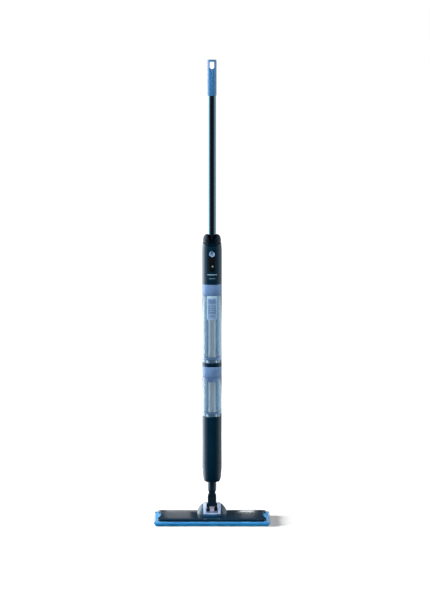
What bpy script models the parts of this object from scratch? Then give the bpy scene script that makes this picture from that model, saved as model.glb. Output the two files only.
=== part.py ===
"""Cordless wash mop: a flat pad head on a two-axis joint, a motor housing, two pull-off water tanks on a spine
tube, a control housing and a pole with a hanging cap.

Metres, +Z up. The origin is on the floor under the middle of the pad. +X is along the pad, the front faces -Y.
"""

import math

import bmesh
import bpy
from mathutils import Matrix

# ---- Clearances and common walls ----
GAP = 0.0003  # between pieces that touch
RUN = 0.0003  # radial, between a pin and the bore that turns on it
WALL = 0.0022  # housing walls
TANK_WALL = 0.0020
ROUND_STEPS = 40  # facets round the large turned pieces
SMALL_STEPS = 20  # facets round pins, screws and hoses

# ---- Head ----
PAD_SIZE = (0.332, 0.140)
PAD_THICK = 0.0126
PAD_CORNER_R = 0.010
STRIP_SIZE = (0.280, 0.018)
STRIP_THICK = 0.0006
STRIP_Y = 0.042  # each hook strip's middle, from the head's middle
COVER_SIZE = (0.313, 0.128)
COVER_CORNER_R = 0.014
NOTCH_DEPTH = 0.0100  # the hollow in each end of the cover
COVER_RIM = 0.0045  # height of the cover's skirt
CROWN = 0.0044  # how far the cover's middle stands above its rim
COVER_WALL = 0.0022
BASE_THICK = 0.0018
BAR_SIZE = (0.250, 0.008, 0.0022)  # wetting and suction bars
BAR_Y = 0.014
SLIT_WIDTH = 0.003

# ---- Joint at the head ----
DOME_R = (0.044, 0.036, 0.042)  # half width, half depth and height of the dome
SLOT_HALF = 0.0167  # the slot that the knuckle swings in
CHEEK = 0.0078  # thickness of each cradle cheek
PITCH_ABOVE_BASE = 0.0157  # pitch pin above the dome's base
TROUGH_FLOOR_DROP = 0.0098  # slot floor below the pitch pin
LIP_DROP = 0.0025  # slot lips below the pitch pin
LIP_THICK = 0.0045
PIN_R = 0.0030
BUSH_R = 0.0045
BARREL_R = 0.0078
WEB_HALF = 0.0059
FLANGE_HALF = 0.0120
KNUCKLE_HALF_X = 0.0123
KNUCKLE_HALF_Y = 0.0115
PIN_SPACING = 0.0383  # pitch pin to tilt pin
EAR_THICK = 0.0048
FOOT_HALF_Y = 0.0080  # the knuckle's foot, which fills the slot from cheek to cheek
FOOT_TALL = 0.0075
FOOT_CLEAR = 0.0006

# ---- Neck and lower housing ----
NECK_R = 0.0123
NECK_BORE_R = 0.0085
TONGUE_HALF_X = 0.0093
NECK_SHOULDER = 0.0195  # above the tilt pin
BODY_R = 0.0280  # housings and tanks share it
CUP_BOTTOM_R = 0.0175
CUP_ABOVE_TILT = 0.0460
CUP_HEIGHT = 0.0565
SLEEVE_HEIGHT = 0.1350

# ---- Inside the lower housing ----
PUMP_R = 0.0108
PUMP_X = 0.0118
PUMP_MOTOR_LENGTH = 0.0260
PUMP_HEAD_LENGTH = 0.0120
CELL_R = 0.00925
CELL_LENGTH = 0.0650
CELL_CENTRE_R = 0.0147
DISC_THICK = 0.0020
HOSE_R = 0.0022
HARNESS_R = 0.0016
HARNESS_CLEAR = 0.0007

# ---- Tanks and spine ----
SPINE_R = 0.0118
SEAT_LEDGE = 0.0030  # width of the ledge that the spine tube stands on
TUBE_WALL = 0.0012
CHANNEL_CLEAR = 0.0010  # tank channel round the spine
LID_HEIGHT = 0.0308
SEAL_RISE = 0.0030  # how far each seal stands up into its lid
DIRTY_SEAL_DROP = 0.0125  # and how far it reaches down into its shell
CLEAN_SEAL_DROP = 0.0030
TANK_FLOOR = 0.0080
DIRTY_TANK_HEIGHT = 0.1448
CLEAN_TANK_HEIGHT = 0.2256
RING_HEIGHT = 0.0108
PORT_R = 0.0035
PORT_X = 0.0200

# ---- Control housing, pole and cap ----
CONTROL_HEIGHT = 0.1080
CONTROL_TOP_R = 0.0272
SCALLOP_RISE = 0.0110  # the housing's top edge is this much higher at its sides than in front
SCALLOP_R = 0.0262  # outer radius at the top of the sides
COLLAR_HEIGHT = 0.0326
COLLAR_R = 0.0256
COLLAR_TOP_R = 0.0185
SOCKET_R = 0.0155
POLE_R = 0.0119
POLE_ABOVE_COLLAR = 0.3935
CAP_R = 0.0130
CAP_HEIGHT = 0.1005
CAP_LOOP_WALL = 0.0052
CAP_SLOT_HALF = 0.0064
CAP_SLOT_HEIGHT = 0.0215
PANEL_HALF = 0.0098  # half width of the display window
BUTTON_R = 0.0082
BUTTON_ABOVE_BASE = 0.0870
PANEL_LENGTH = 0.0410  # button centre to the middle of the window's lower end
BUTTON_TRAVEL = 0.0015
PORT_ABOVE_BASE = 0.0345
PORT_SIZE = (0.0060, 0.0100)  # charging recess, across and high
PORT_DEPTH = 0.0026

# ---- Heights, each worked out from the one below it ----
STRIP_Z = PAD_THICK + GAP
BASE_Z = STRIP_Z + STRIP_THICK + GAP
COVER_Z = BASE_Z
RIM_TOP_Z = COVER_Z + COVER_RIM
CROWN_TOP_Z = RIM_TOP_Z + CROWN
PITCH_Z = RIM_TOP_Z + PITCH_ABOVE_BASE
TILT_Z = PITCH_Z + PIN_SPACING
CUP_Z = TILT_Z + CUP_ABOVE_TILT
SLEEVE_Z = CUP_Z + CUP_HEIGHT + GAP
SLEEVE_TOP_Z = SLEEVE_Z + SLEEVE_HEIGHT
DIRTY_Z = SLEEVE_TOP_Z + GAP
RING_Z = DIRTY_Z + DIRTY_TANK_HEIGHT + GAP
CLEAN_Z = RING_Z + RING_HEIGHT + GAP
CONTROL_Z = CLEAN_Z + CLEAN_TANK_HEIGHT + GAP
CONTROL_TOP_Z = CONTROL_Z + CONTROL_HEIGHT
COLLAR_Z = CONTROL_TOP_Z + GAP
COLLAR_TOP_Z = COLLAR_Z + COLLAR_HEIGHT
CAP_Z = COLLAR_TOP_Z + POLE_ABOVE_COLLAR
CAP_TOP_Z = CAP_Z + CAP_HEIGHT

MATERIALS = {  # name: (colour, roughness, metallic, alpha)
    "navy_gloss": ((0.012, 0.030, 0.052), 0.18, 0.0, 1.0),
    "navy_satin": ((0.010, 0.022, 0.038), 0.40, 0.0, 1.0),
    "pole_paint": ((0.008, 0.022, 0.040), 0.22, 0.3, 1.0),
    "cap_blue": ((0.040, 0.150, 0.360), 0.35, 0.0, 1.0),
    "pad_blue": ((0.030, 0.190, 0.480), 0.90, 0.0, 1.0),
    "hook_grey": ((0.100, 0.120, 0.150), 0.90, 0.0, 1.0),
    "cradle_silver": ((0.360, 0.460, 0.600), 0.25, 0.2, 1.0),
    "zinc": ((0.600, 0.600, 0.640), 0.30, 0.9, 1.0),
    "steel": ((0.550, 0.560, 0.580), 0.30, 1.0, 1.0),
    "tank_clear": ((0.420, 0.640, 0.780), 0.05, 0.0, 0.35),
    "lid_blue": ((0.220, 0.380, 0.680), 0.15, 0.0, 0.60),
    "spine_silver": ((0.620, 0.660, 0.680), 0.30, 0.9, 1.0),
    "lens_black": ((0.004, 0.005, 0.006), 0.08, 0.0, 1.0),
    "button_blue": ((0.300, 0.450, 0.700), 0.15, 0.0, 1.0),
    "rubber": ((0.015, 0.016, 0.018), 0.70, 0.0, 1.0),
    "inner_grey": ((0.300, 0.320, 0.340), 0.55, 0.0, 1.0),
    "board_green": ((0.020, 0.120, 0.060), 0.45, 0.0, 1.0),
    "cell_wrap": ((0.050, 0.250, 0.300), 0.35, 0.0, 1.0),
    "hose_clear": ((0.600, 0.620, 0.640), 0.30, 0.0, 0.60),
}


# ---- Making objects ----
def clear_scene():
    for obj in list(bpy.data.objects):
        bpy.data.objects.remove(obj, do_unlink=True)


def material(name):
    found = bpy.data.materials.get(name)
    if found:
        return found
    colour, roughness, metallic, alpha = MATERIALS[name]
    made = bpy.data.materials.new(name)
    made.use_nodes = True
    shader = made.node_tree.nodes["Principled BSDF"]
    shader.inputs["Base Color"].default_value = (*colour, 1.0)
    shader.inputs["Roughness"].default_value = roughness
    shader.inputs["Metallic"].default_value = metallic
    shader.inputs["Alpha"].default_value = alpha
    return made


def collection(name):
    found = bpy.data.collections.get(name)
    if not found:
        found = bpy.data.collections.new(name)
        bpy.context.scene.collection.children.link(found)
    return found


def adopt(name, data, material_name=None):
    """A new object holding data: a piece of the mop, or a cutter where it has no material."""
    obj = bpy.data.objects.new(name, data)
    if material_name:
        data.materials.append(material(material_name))
        collection("wash_mop").objects.link(obj)
    else:
        collection("cutters").objects.link(obj)
        obj.hide_render = True
        obj.display_type = "WIRE"
    return obj


def from_bmesh(name, bm, material_name=None):
    mesh = bpy.data.meshes.new(name)
    bm.to_mesh(mesh)
    bm.free()
    return adopt(name, mesh, material_name)


def box(name, size, centre, material_name=None):
    bm = bmesh.new()
    bmesh.ops.create_cube(bm, size=1.0, matrix=Matrix.Diagonal((*size, 1.0)))
    obj = from_bmesh(name, bm, material_name)
    obj.location = centre
    return obj


def rod(name, radius, start, end, material_name=None, steps=SMALL_STEPS):
    """A plain cylinder between two points that lie along X, Y or Z from each other."""
    bm = bmesh.new()
    reach = [b - a for a, b in zip(start, end)]
    length = math.hypot(*reach)
    bmesh.ops.create_cone(bm, cap_ends=True, segments=steps, radius1=radius, radius2=radius, depth=length)
    obj = from_bmesh(name, bm, material_name)
    obj.location = [(a + b) / 2 for a, b in zip(start, end)]
    if abs(reach[0]) > abs(reach[2]):
        obj.rotation_euler = (0, math.pi / 2, 0)
    elif abs(reach[1]) > abs(reach[2]):
        obj.rotation_euler = (math.pi / 2, 0, 0)
    return obj


def ellipsoid(name, half_sizes, centre, material_name=None, segments=28, rings=14):
    bm = bmesh.new()
    scale = Matrix.Diagonal((*half_sizes, 1.0))
    bmesh.ops.create_uvsphere(bm, u_segments=segments, v_segments=rings, radius=1.0, matrix=scale)
    obj = from_bmesh(name, bm, material_name)
    obj.location = centre
    return obj


def turned(name, profile, material_name=None, steps=ROUND_STEPS):
    """A turned piece from its (radius, height) outline. An outline that starts and ends on the axis stays open there."""
    points = list(profile)
    area = sum(a[0] * b[1] - b[0] * a[1] for a, b in zip(points, points[1:] + points[:1]))
    if area > 0:  # the outer side has to run downwards
        points.reverse()
    on_axis = points[0][0] == 0 and points[-1][0] == 0
    edges = [(i, i + 1) for i in range(len(points) - 1)]
    if not on_axis:
        edges.append((len(points) - 1, 0))
    mesh = bpy.data.meshes.new(name)
    mesh.from_pydata([(r, 0, z) for r, z in points], edges, [])
    obj = adopt(name, mesh, material_name)
    screw = obj.modifiers.new("turn", "SCREW")
    screw.steps = screw.render_steps = steps
    screw.use_merge_vertices = True
    screw.merge_threshold = 0.00005
    return obj


def plate(name, outlines, z_low, z_high, material_name=None, facing="Z"):
    """A flat piece cut to an outline, with any further outlines as holes. Facing X or Y stands it up on its edge:
    the outline's points are then (y, z) or (x, z), and z_low and z_high run along that axis."""
    curve = bpy.data.curves.new(name, "CURVE")
    curve.dimensions = "2D"
    curve.fill_mode = "BOTH"
    curve.extrude = (z_high - z_low) / 2
    for outline in outlines:
        spline = curve.splines.new("POLY")
        spline.points.add(len(outline) - 1)
        for point, (x, y) in zip(spline.points, outline):
            point.co = (x, y, 0, 1)
        spline.use_cyclic_u = True
    drawn = bpy.data.objects.new(name + "_outline", curve)
    collection("cutters").objects.link(drawn)
    turn = {
        "Z": Matrix.Identity(4),
        "X": Matrix(((0, 0, 1, 0), (1, 0, 0, 0), (0, 1, 0, 0), (0, 0, 0, 1))),
        "Y": Matrix(((1, 0, 0, 0), (0, 0, -1, 0), (0, 1, 0, 0), (0, 0, 0, 1))),
    }[facing]
    bpy.context.view_layer.update()
    mesh = bpy.data.meshes.new_from_object(drawn.evaluated_get(bpy.context.evaluated_depsgraph_get()))
    bpy.data.objects.remove(drawn, do_unlink=True)
    bm = bmesh.new()
    bm.from_mesh(mesh)
    bmesh.ops.remove_doubles(bm, verts=bm.verts, dist=0.00002)
    middle = (z_high + z_low) / 2
    shift = {"Z": (0, 0, middle), "X": (middle, 0, 0), "Y": (0, middle, 0)}[facing]
    bm.transform(Matrix.Translation(shift) @ turn)
    bmesh.ops.recalc_face_normals(bm, faces=bm.faces)
    return from_bmesh(name, bm, material_name)


def hose(name, points, radius, material_name):
    """A bent round hose or lead through its points."""
    curve = bpy.data.curves.new(name, "CURVE")
    curve.dimensions = "3D"
    curve.bevel_depth = radius
    curve.bevel_resolution = 2
    curve.use_fill_caps = True
    spline = curve.splines.new("POLY")
    spline.points.add(len(points) - 1)
    for point, at in zip(spline.points, points):
        point.co = (*at, 1)
    obj = adopt(name, curve, material_name)
    return obj


def boolean(obj, other, operation="DIFFERENCE"):
    modifier = obj.modifiers.new(operation.lower(), "BOOLEAN")
    modifier.operation = operation
    modifier.object = other
    modifier.solver = "EXACT"
    return obj


def smooth_round_pieces():
    for obj in collection("wash_mop").objects:
        if obj.type == "MESH" and obj.data.polygons:
            obj.data.shade_smooth()
            obj.data.set_sharp_from_angle(angle=math.radians(35))


# ---- Outlines ----
def arc(centre, radius, start, end, count):
    """Points along an arc, in degrees, both ends included."""
    angles = [math.radians(start + (end - start) * i / count) for i in range(count + 1)]
    return [(centre[0] + radius * math.cos(a), centre[1] + radius * math.sin(a)) for a in angles]


def rounded_rectangle(size, radius, steps=4):
    x, y = size[0] / 2 - radius, size[1] / 2 - radius
    corners = (((x, y), 0), ((-x, y), 90), ((-x, -y), 180), ((x, -y), 270))
    return [p for centre, start in corners for p in arc(centre, radius, start, start + 90, steps)]


def head_outline(inset=0.0):
    """The cover's outline: rounded corners, and a wide hollow in each end between two horns."""
    half_x, half_y = COVER_SIZE[0] / 2 - inset, COVER_SIZE[1] / 2 - inset
    corner = COVER_CORNER_R - inset
    reach = half_y - corner  # horn tip, from the middle
    hollow_r = (reach**2 + NOTCH_DEPTH**2) / (2 * NOTCH_DEPTH)
    swing = math.degrees(math.asin(reach / hollow_r))
    right = arc((half_x - corner, -reach), corner, -90, 0, 4)
    right += arc((half_x - NOTCH_DEPTH + hollow_r, 0), hollow_r, 180 + swing, 180 - swing, 10)[1:-1]
    right += arc((half_x - corner, reach), corner, 0, 90, 4)
    return right + [(-x, -y) for x, y in right]


def channelled_circle(radius, half_width, steps=30):
    """A circle with a round-ended channel cut in from the back: the tanks' plan."""
    open_angle = math.degrees(math.asin(half_width / radius))
    rim = arc((0, 0), radius, 90 + open_angle, 450 - open_angle, steps)
    channel = arc((0, 0), half_width, 0, -180, 14)
    return rim + channel


def crown_profile(lift=0.0, spread=0.0):
    """The cover's crowned section across its width, as (y, z)."""
    half = COVER_SIZE[1] / 2 + spread
    count = 12
    ys = [half * (1 - 2 * i / count) for i in range(count + 1)]
    top = [(y, RIM_TOP_Z + lift + CROWN * (1 - (y / half) ** 2)) for y in ys]
    return top


def pill(half, low, high, steps=8):
    """A tall slot with round ends, as (x, z). low and high are the middles of its ends."""
    return arc((0, high), half, 0, 180, steps) + arc((0, low), half, 180, 360, steps)


# ---- The head ----
def build_head():
    plate("mop_pad", [rounded_rectangle(PAD_SIZE, PAD_CORNER_R)], 0, PAD_THICK, "pad_blue")
    for side, name in ((-1, "hook_strip_front"), (1, "hook_strip_rear")):
        centre = (0, side * STRIP_Y, STRIP_Z + STRIP_THICK / 2)
        box(name, (*STRIP_SIZE, STRIP_THICK), centre, "hook_grey")

    inset = COVER_WALL + GAP
    slits = [
        [(x, y + side * BAR_Y) for x, y in rounded_rectangle((BAR_SIZE[0] * 0.94, SLIT_WIDTH), 0.0014, 2)]
        for side in (-1, 1)
    ]
    base_outline = head_outline(inset)
    plate("base_plate", [base_outline, *slits], BASE_Z, BASE_Z + BASE_THICK, "navy_satin")

    cover = plate("head_cover", [head_outline()], COVER_Z, CROWN_TOP_Z + 0.002, "navy_gloss")
    top_edge = crown_profile()
    half = COVER_SIZE[1] / 2
    above = [(half + 0.01, RIM_TOP_Z), *top_edge, (-half - 0.01, RIM_TOP_Z)]
    above += [(-half - 0.01, CROWN_TOP_Z + 0.02), (half + 0.01, CROWN_TOP_Z + 0.02)]
    length = COVER_SIZE[0] / 2 + 0.01
    boolean(cover, plate("cut_crown", [above], -length, length, facing="X"))
    hollow = plate("cut_hollow", [head_outline(COVER_WALL)], COVER_Z - 0.002, CROWN_TOP_Z, None)
    hollow_top = [(half + 0.01, RIM_TOP_Z - COVER_WALL)]
    hollow_top += [(y, z - COVER_WALL) for y, z in top_edge]
    hollow_top += [(-half - 0.01, RIM_TOP_Z - COVER_WALL), (-half - 0.01, COVER_Z - 0.01), (half + 0.01, COVER_Z - 0.01)]
    boolean(hollow, plate("keep_hollow", [hollow_top], -length, length, facing="X"), "INTERSECT")
    boolean(cover, hollow)

    bar_z = BASE_Z + BASE_THICK + GAP + BAR_SIZE[2] / 2
    box("wetting_bar", BAR_SIZE, (0, -BAR_Y, bar_z), "inner_grey")
    box("suction_bar", BAR_SIZE, (0, BAR_Y, bar_z), "inner_grey")


def build_cradle():
    """The pale cradle and the two dark dome halves that hide it, with the pitch pin across."""
    base = (0, 0, RIM_TOP_Z)
    grown = [r + 0.0004 for r in DOME_R]
    cheek_out = SLOT_HALF + CHEEK
    under = [(y, z + GAP) for y, z in crown_profile()]
    half = COVER_SIZE[1] / 2
    floor_cut = [*under, (-half, -0.05), (half, -0.05)]
    under_cover = plate("cut_under_cover", [floor_cut], -DOME_R[0] - 0.01, DOME_R[0] + 0.01, facing="X")

    cradle = ellipsoid("pivot_cradle", grown, base, "cradle_silver", 32, 16)
    width = DOME_R[0] + 0.02
    slab = box("keep_cradle", (2 * cheek_out, 0.2, 0.2), (0, 0, RIM_TOP_Z))
    boolean(cradle, slab, "INTERSECT")
    boolean(cradle, under_cover)
    lip_y = math.sqrt(1 - ((PITCH_ABOVE_BASE - LIP_DROP) / grown[2]) ** 2) * grown[1] - LIP_THICK
    floor_z, lip_z = PITCH_Z - TROUGH_FLOOR_DROP, PITCH_Z - LIP_DROP
    top_z = RIM_TOP_Z + DOME_R[2] + 0.02
    above = box("cut_slot", (2 * SLOT_HALF, 0.2, top_z - lip_z), (0, 0, (top_z + lip_z) / 2))
    boolean(cradle, above)
    trough = [(-lip_y + 0.004, floor_z), (lip_y - 0.004, floor_z), (lip_y, lip_z + 0.002), (-lip_y, lip_z + 0.002)]
    boolean(cradle, plate("cut_trough", [trough], -SLOT_HALF, SLOT_HALF, facing="X"))
    bore = rod("cut_pitch_bore", PIN_R + GAP / 2, (-width, 0, PITCH_Z), (width, 0, PITCH_Z))
    boolean(cradle, bore)

    pin_half = cheek_out - 0.001
    rod("pitch_pin", PIN_R, (-pin_half, 0, PITCH_Z), (pin_half, 0, PITCH_Z), "steel")
    for side, name in ((-1, "pitch_bush_left"), (1, "pitch_bush_right")):
        inner, outer = side * (WEB_HALF + GAP), side * (SLOT_HALF - GAP)
        bush = rod(name, BUSH_R, (inner, 0, PITCH_Z), (outer, 0, PITCH_Z), "rubber")
        cutter = rod(f"cut_{name}", PIN_R + GAP, (inner * 0.5, 0, PITCH_Z), (outer * 1.2, 0, PITCH_Z))
        boolean(bush, cutter)

    skin = 0.0024
    for side, name in ((-1, "dome_left"), (1, "dome_right")):
        dome = ellipsoid(name, DOME_R, base, "navy_gloss", 32, 16)
        inner = [r - skin for r in DOME_R]
        boolean(dome, ellipsoid(f"cut_{name}", inner, base, None, 32, 16))
        far = side * (cheek_out + GAP + width / 2)
        boolean(dome, box(f"keep_{name}", (width, 0.2, 0.2), (far, 0, RIM_TOP_Z)), "INTERSECT")
        boolean(dome, under_cover)


def build_knuckle():
    """The moving middle of the joint: a zinc block on the pitch pin, under a forked knuckle that holds the tilt pin."""
    block_top = PITCH_Z + BARREL_R + 0.0040
    block = box("pivot_block", (2 * FLANGE_HALF, 0.0160, 0.0050), (0, 0, block_top - 0.0025), "zinc")
    web = box("add_web", (2 * WEB_HALF, 0.0120, block_top - PITCH_Z - 0.001), (0, 0, (block_top + PITCH_Z) / 2 - 0.0005))
    barrel = rod("add_barrel", BARREL_R, (-WEB_HALF, 0, PITCH_Z), (WEB_HALF, 0, PITCH_Z), steps=24)
    boolean(web, barrel, "UNION")
    boolean(block, web, "UNION")
    boolean(block, rod("cut_barrel", PIN_R + RUN, (-0.02, 0, PITCH_Z), (0.02, 0, PITCH_Z)))

    fork_floor = TILT_Z - TONGUE_HALF_X - 0.0030
    base_z = block_top + GAP
    ear = arc((0, TILT_Z), KNUCKLE_HALF_X, 0, 180, 16) + [(-KNUCKLE_HALF_X, base_z + 0.004)]
    ear += [(-KNUCKLE_HALF_X + 0.0015, base_z), (KNUCKLE_HALF_X - 0.0015, base_z), (KNUCKLE_HALF_X, base_z + 0.004)]
    knuckle = plate("knuckle", [ear], -KNUCKLE_HALF_Y, KNUCKLE_HALF_Y, "navy_satin", facing="Y")
    gap_half = KNUCKLE_HALF_Y - EAR_THICK
    fork = box("cut_fork", (0.06, 2 * gap_half, 0.06), (0, 0, fork_floor + 0.03))
    boolean(knuckle, fork)
    foot_size = (2 * (SLOT_HALF - FOOT_CLEAR), 2 * FOOT_HALF_Y, FOOT_TALL)
    boolean(knuckle, box("add_foot", foot_size, (0, 0, base_z + FOOT_TALL / 2)), "UNION")
    boolean(knuckle, rod("cut_ears", PIN_R + GAP / 2, (0, -0.03, TILT_Z), (0, 0.03, TILT_Z)))
    pin_half = KNUCKLE_HALF_Y - 0.0010
    rod("tilt_pin", PIN_R, (0, -pin_half, TILT_Z), (0, pin_half, TILT_Z), "steel")


# ---- Neck and lower housing ----
def build_neck():
    top_z = CUP_Z + 0.0160
    shoulder = TILT_Z + NECK_SHOULDER
    profile = [(0, shoulder - 0.004), (TONGUE_HALF_X, shoulder - 0.004), (NECK_R, shoulder), (NECK_R, top_z)]
    profile += [(NECK_BORE_R, top_z), (NECK_BORE_R, shoulder + 0.003), (0, shoulder + 0.003)]
    neck = turned("neck", profile, "navy_satin", 32)
    gap_half = KNUCKLE_HALF_Y - EAR_THICK - 0.0004
    tongue = arc((0, TILT_Z), TONGUE_HALF_X, 180, 360, 14)
    tongue += [(TONGUE_HALF_X, shoulder - 0.001), (-TONGUE_HALF_X, shoulder - 0.001)]
    boolean(neck, plate("add_tongue", [tongue], -gap_half, gap_half, facing="Y"), "UNION")
    boolean(neck, rod("cut_tongue", PIN_R + RUN, (0, -0.03, TILT_Z), (0, 0.03, TILT_Z)))

    nut_low = CUP_Z + WALL + 3 * GAP
    nut = [(NECK_R + GAP, nut_low), (NECK_R + 0.004, nut_low), (NECK_R + 0.004, nut_low + 0.005)]
    turned("neck_nut", [*nut, (NECK_R + GAP, nut_low + 0.005)], "inner_grey", 24)


def build_lower_housing():
    flare = BODY_R - CUP_BOTTOM_R
    shape = ((0, 0), (0.040, 0.45), (0.11, 0.62), (0.27, 0.79), (0.56, 0.93), (1, 1))
    outer = [(CUP_BOTTOM_R + flare * out, CUP_Z + CUP_HEIGHT * up) for up, out in shape]
    inner = [(r - WALL, max(z, CUP_Z + WALL)) for r, z in outer]
    hole = NECK_R + GAP
    inner[0] = (hole, CUP_Z + WALL)
    turned("housing_cup", [(hole, CUP_Z), *outer, *reversed(inner)], "navy_gloss")

    low, high = SLEEVE_Z, SLEEVE_TOP_Z
    sleeve = [(BODY_R, low), (BODY_R, high), (BODY_R - WALL, high), (BODY_R - WALL, low)]
    turned("housing_sleeve", sleeve, "navy_gloss")

    inside = BODY_R - WALL - GAP
    seat_low = SLEEVE_TOP_Z - 0.0055
    boss_low = seat_low - 0.0180
    ledge = SPINE_R - SEAT_LEDGE
    seat = [(ledge, boss_low), (SPINE_R + 0.0035, boss_low), (SPINE_R + 0.0035, seat_low), (inside, seat_low)]
    seat += [(inside, SLEEVE_TOP_Z), (SPINE_R + GAP, SLEEVE_TOP_Z), (SPINE_R + GAP, boss_low + 0.002)]
    turned("tank_seat", [*seat, (ledge, boss_low + 0.002)], "inner_grey")
    return inside, boss_low


def build_drive(inside, seat_low):
    """Pumps, battery and their carriers, stacked up the middle of the lower housing."""
    mount_z = SLEEVE_Z - 0.004
    holes = [arc((side * 0.0075, 0.0), 0.0032, 0, 330, 11) for side in (-1, 1)]
    plate("pump_mount", [arc((0, 0), inside - 0.0006, 0, 351, 39), *holes], mount_z, mount_z + DISC_THICK, "inner_grey")
    head_z = mount_z + DISC_THICK + GAP
    motor_z = head_z + PUMP_HEAD_LENGTH + GAP
    motor_top = motor_z + PUMP_MOTOR_LENGTH
    for side, kind in ((-1, "supply"), (1, "return")):
        x = side * PUMP_X
        rod(f"{kind}_pump_head", PUMP_R, (x, 0, head_z), (x, 0, head_z + PUMP_HEAD_LENGTH), "inner_grey", 24)
        rod(f"{kind}_pump_motor", PUMP_R * 0.92, (x, 0, motor_z), (x, 0, motor_top), "steel", 24)
    box("power_board", (0.030, 0.0016, 0.034), (0, PUMP_R + 0.0045, head_z + 0.018), "board_green")

    tray_z = motor_top + 0.0020
    cell_z = tray_z + DISC_THICK + GAP
    lid_z = cell_z + CELL_LENGTH + GAP
    centre_hole = arc((0, 0), 0.0050, 0, 337.5, 15)
    rim = arc((0, 0), inside - 0.0006, 0, 351, 39)
    plate("battery_tray_lower", [rim, centre_hole], tray_z, tray_z + DISC_THICK, "inner_grey")
    plate("battery_tray_upper", [rim, centre_hole], lid_z, lid_z + DISC_THICK, "inner_grey")
    for i in range(3):
        a = math.radians(90 + 120 * i)
        x, y = CELL_CENTRE_R * math.cos(a), CELL_CENTRE_R * math.sin(a)
        rod(f"battery_cell_{i + 1}", CELL_R, (x, y, cell_z), (x, y, cell_z + CELL_LENGTH), "cell_wrap", 20)
    return head_z, motor_top, lid_z


def build_hoses(head_z, motor_top):
    """Water hoses from the neck to the pumps, and from the pumps up the spine to the valve ring."""
    neck_z = TILT_Z + NECK_SHOULDER + 0.0040
    for side, kind in ((-1, "supply"), (1, "return")):
        low_x = side * 0.0040
        port_x = side * 0.0075
        points = [(low_x, 0, neck_z), (low_x, 0, CUP_Z + 0.016), (low_x, 0, CUP_Z + 0.024)]
        points += [(port_x, 0, CUP_Z + 0.040), (port_x, 0, head_z - GAP)]
        hose(f"{kind}_hose_lower", points, HOSE_R, "hose_clear")
        up_x = side * 0.0025
        points = [(up_x, 0, motor_top + GAP), (up_x, 0, RING_Z + 0.002)]
        hose(f"{kind}_hose_upper", points, HOSE_R, "hose_clear")


# ---- Tanks, spine and ring ----
def build_tank(name, base_z, height, seal_drop):
    """A clear shell with a channel up its back for the spine, a seal and a blue lid. It pulls off forwards."""
    channel = SPINE_R + CHANNEL_CLEAR
    shell_top = base_z + height - LID_HEIGHT - GAP
    outer = channelled_circle(BODY_R, channel)
    inner = channelled_circle(BODY_R - TANK_WALL, channel + TANK_WALL)
    shell = plate(f"{name}_shell", [outer], base_z, shell_top, "tank_clear")
    boolean(shell, plate(f"cut_{name}", [inner], base_z + TANK_FLOOR, shell_top + 0.01))
    port = rod(f"cut_{name}_port", PORT_R, (PORT_X, 0, base_z - 0.01), (PORT_X, 0, base_z + 0.02))
    boolean(shell, port)
    valve_low, valve_high = base_z + 0.0004, base_z + TANK_FLOOR + 0.0030
    rod(f"{name}_valve", PORT_R - GAP, (PORT_X, 0, valve_low), (PORT_X, 0, valve_high), "rubber", 16)

    lid_z = shell_top + GAP
    lid = plate(f"{name}_lid", [outer], lid_z, lid_z + LID_HEIGHT, "lid_blue")
    boolean(lid, plate(f"cut_{name}_lid", [inner], lid_z - 0.01, lid_z + LID_HEIGHT - TANK_WALL))
    seal_out = channelled_circle(BODY_R - TANK_WALL - GAP, channel + TANK_WALL + GAP)
    seal_in = channelled_circle(BODY_R - TANK_WALL - 0.0018, channel + TANK_WALL + 0.0018)
    plate(f"{name}_seal", [seal_out, seal_in], shell_top - seal_drop, shell_top + SEAL_RISE, "lid_blue")


def build_spine_and_ring(boss_low):
    low, high = boss_low + 0.0023, CONTROL_Z + 0.0500
    spine = [(SPINE_R, low), (SPINE_R, high), (SPINE_R - TUBE_WALL, high), (SPINE_R - TUBE_WALL, low)]
    turned("spine_tube", spine, "spine_silver", 32)

    top = RING_Z + RING_HEIGHT
    edge = 0.0012
    ring = [(SPINE_R + GAP, RING_Z), (BODY_R - edge, RING_Z), (BODY_R, RING_Z + edge), (BODY_R, top - edge)]
    ring += [(BODY_R - edge, top), (SPINE_R + GAP, top)]
    valve_ring = turned("valve_ring", ring, "navy_gloss")
    boolean(valve_ring, rod("cut_ring_port", PORT_R, (PORT_X, 0, top - 0.006), (PORT_X, 0, top + 0.01)))
    gasket = [(PORT_R - 0.0012, top - 0.0055), (PORT_R - GAP, top - 0.0055), (PORT_R - GAP, top - GAP)]
    washer = turned("port_gasket", [*gasket, (PORT_R - 0.0012, top - GAP)], "rubber", 16)
    washer.location = (PORT_X, 0, 0)
    return high


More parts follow.
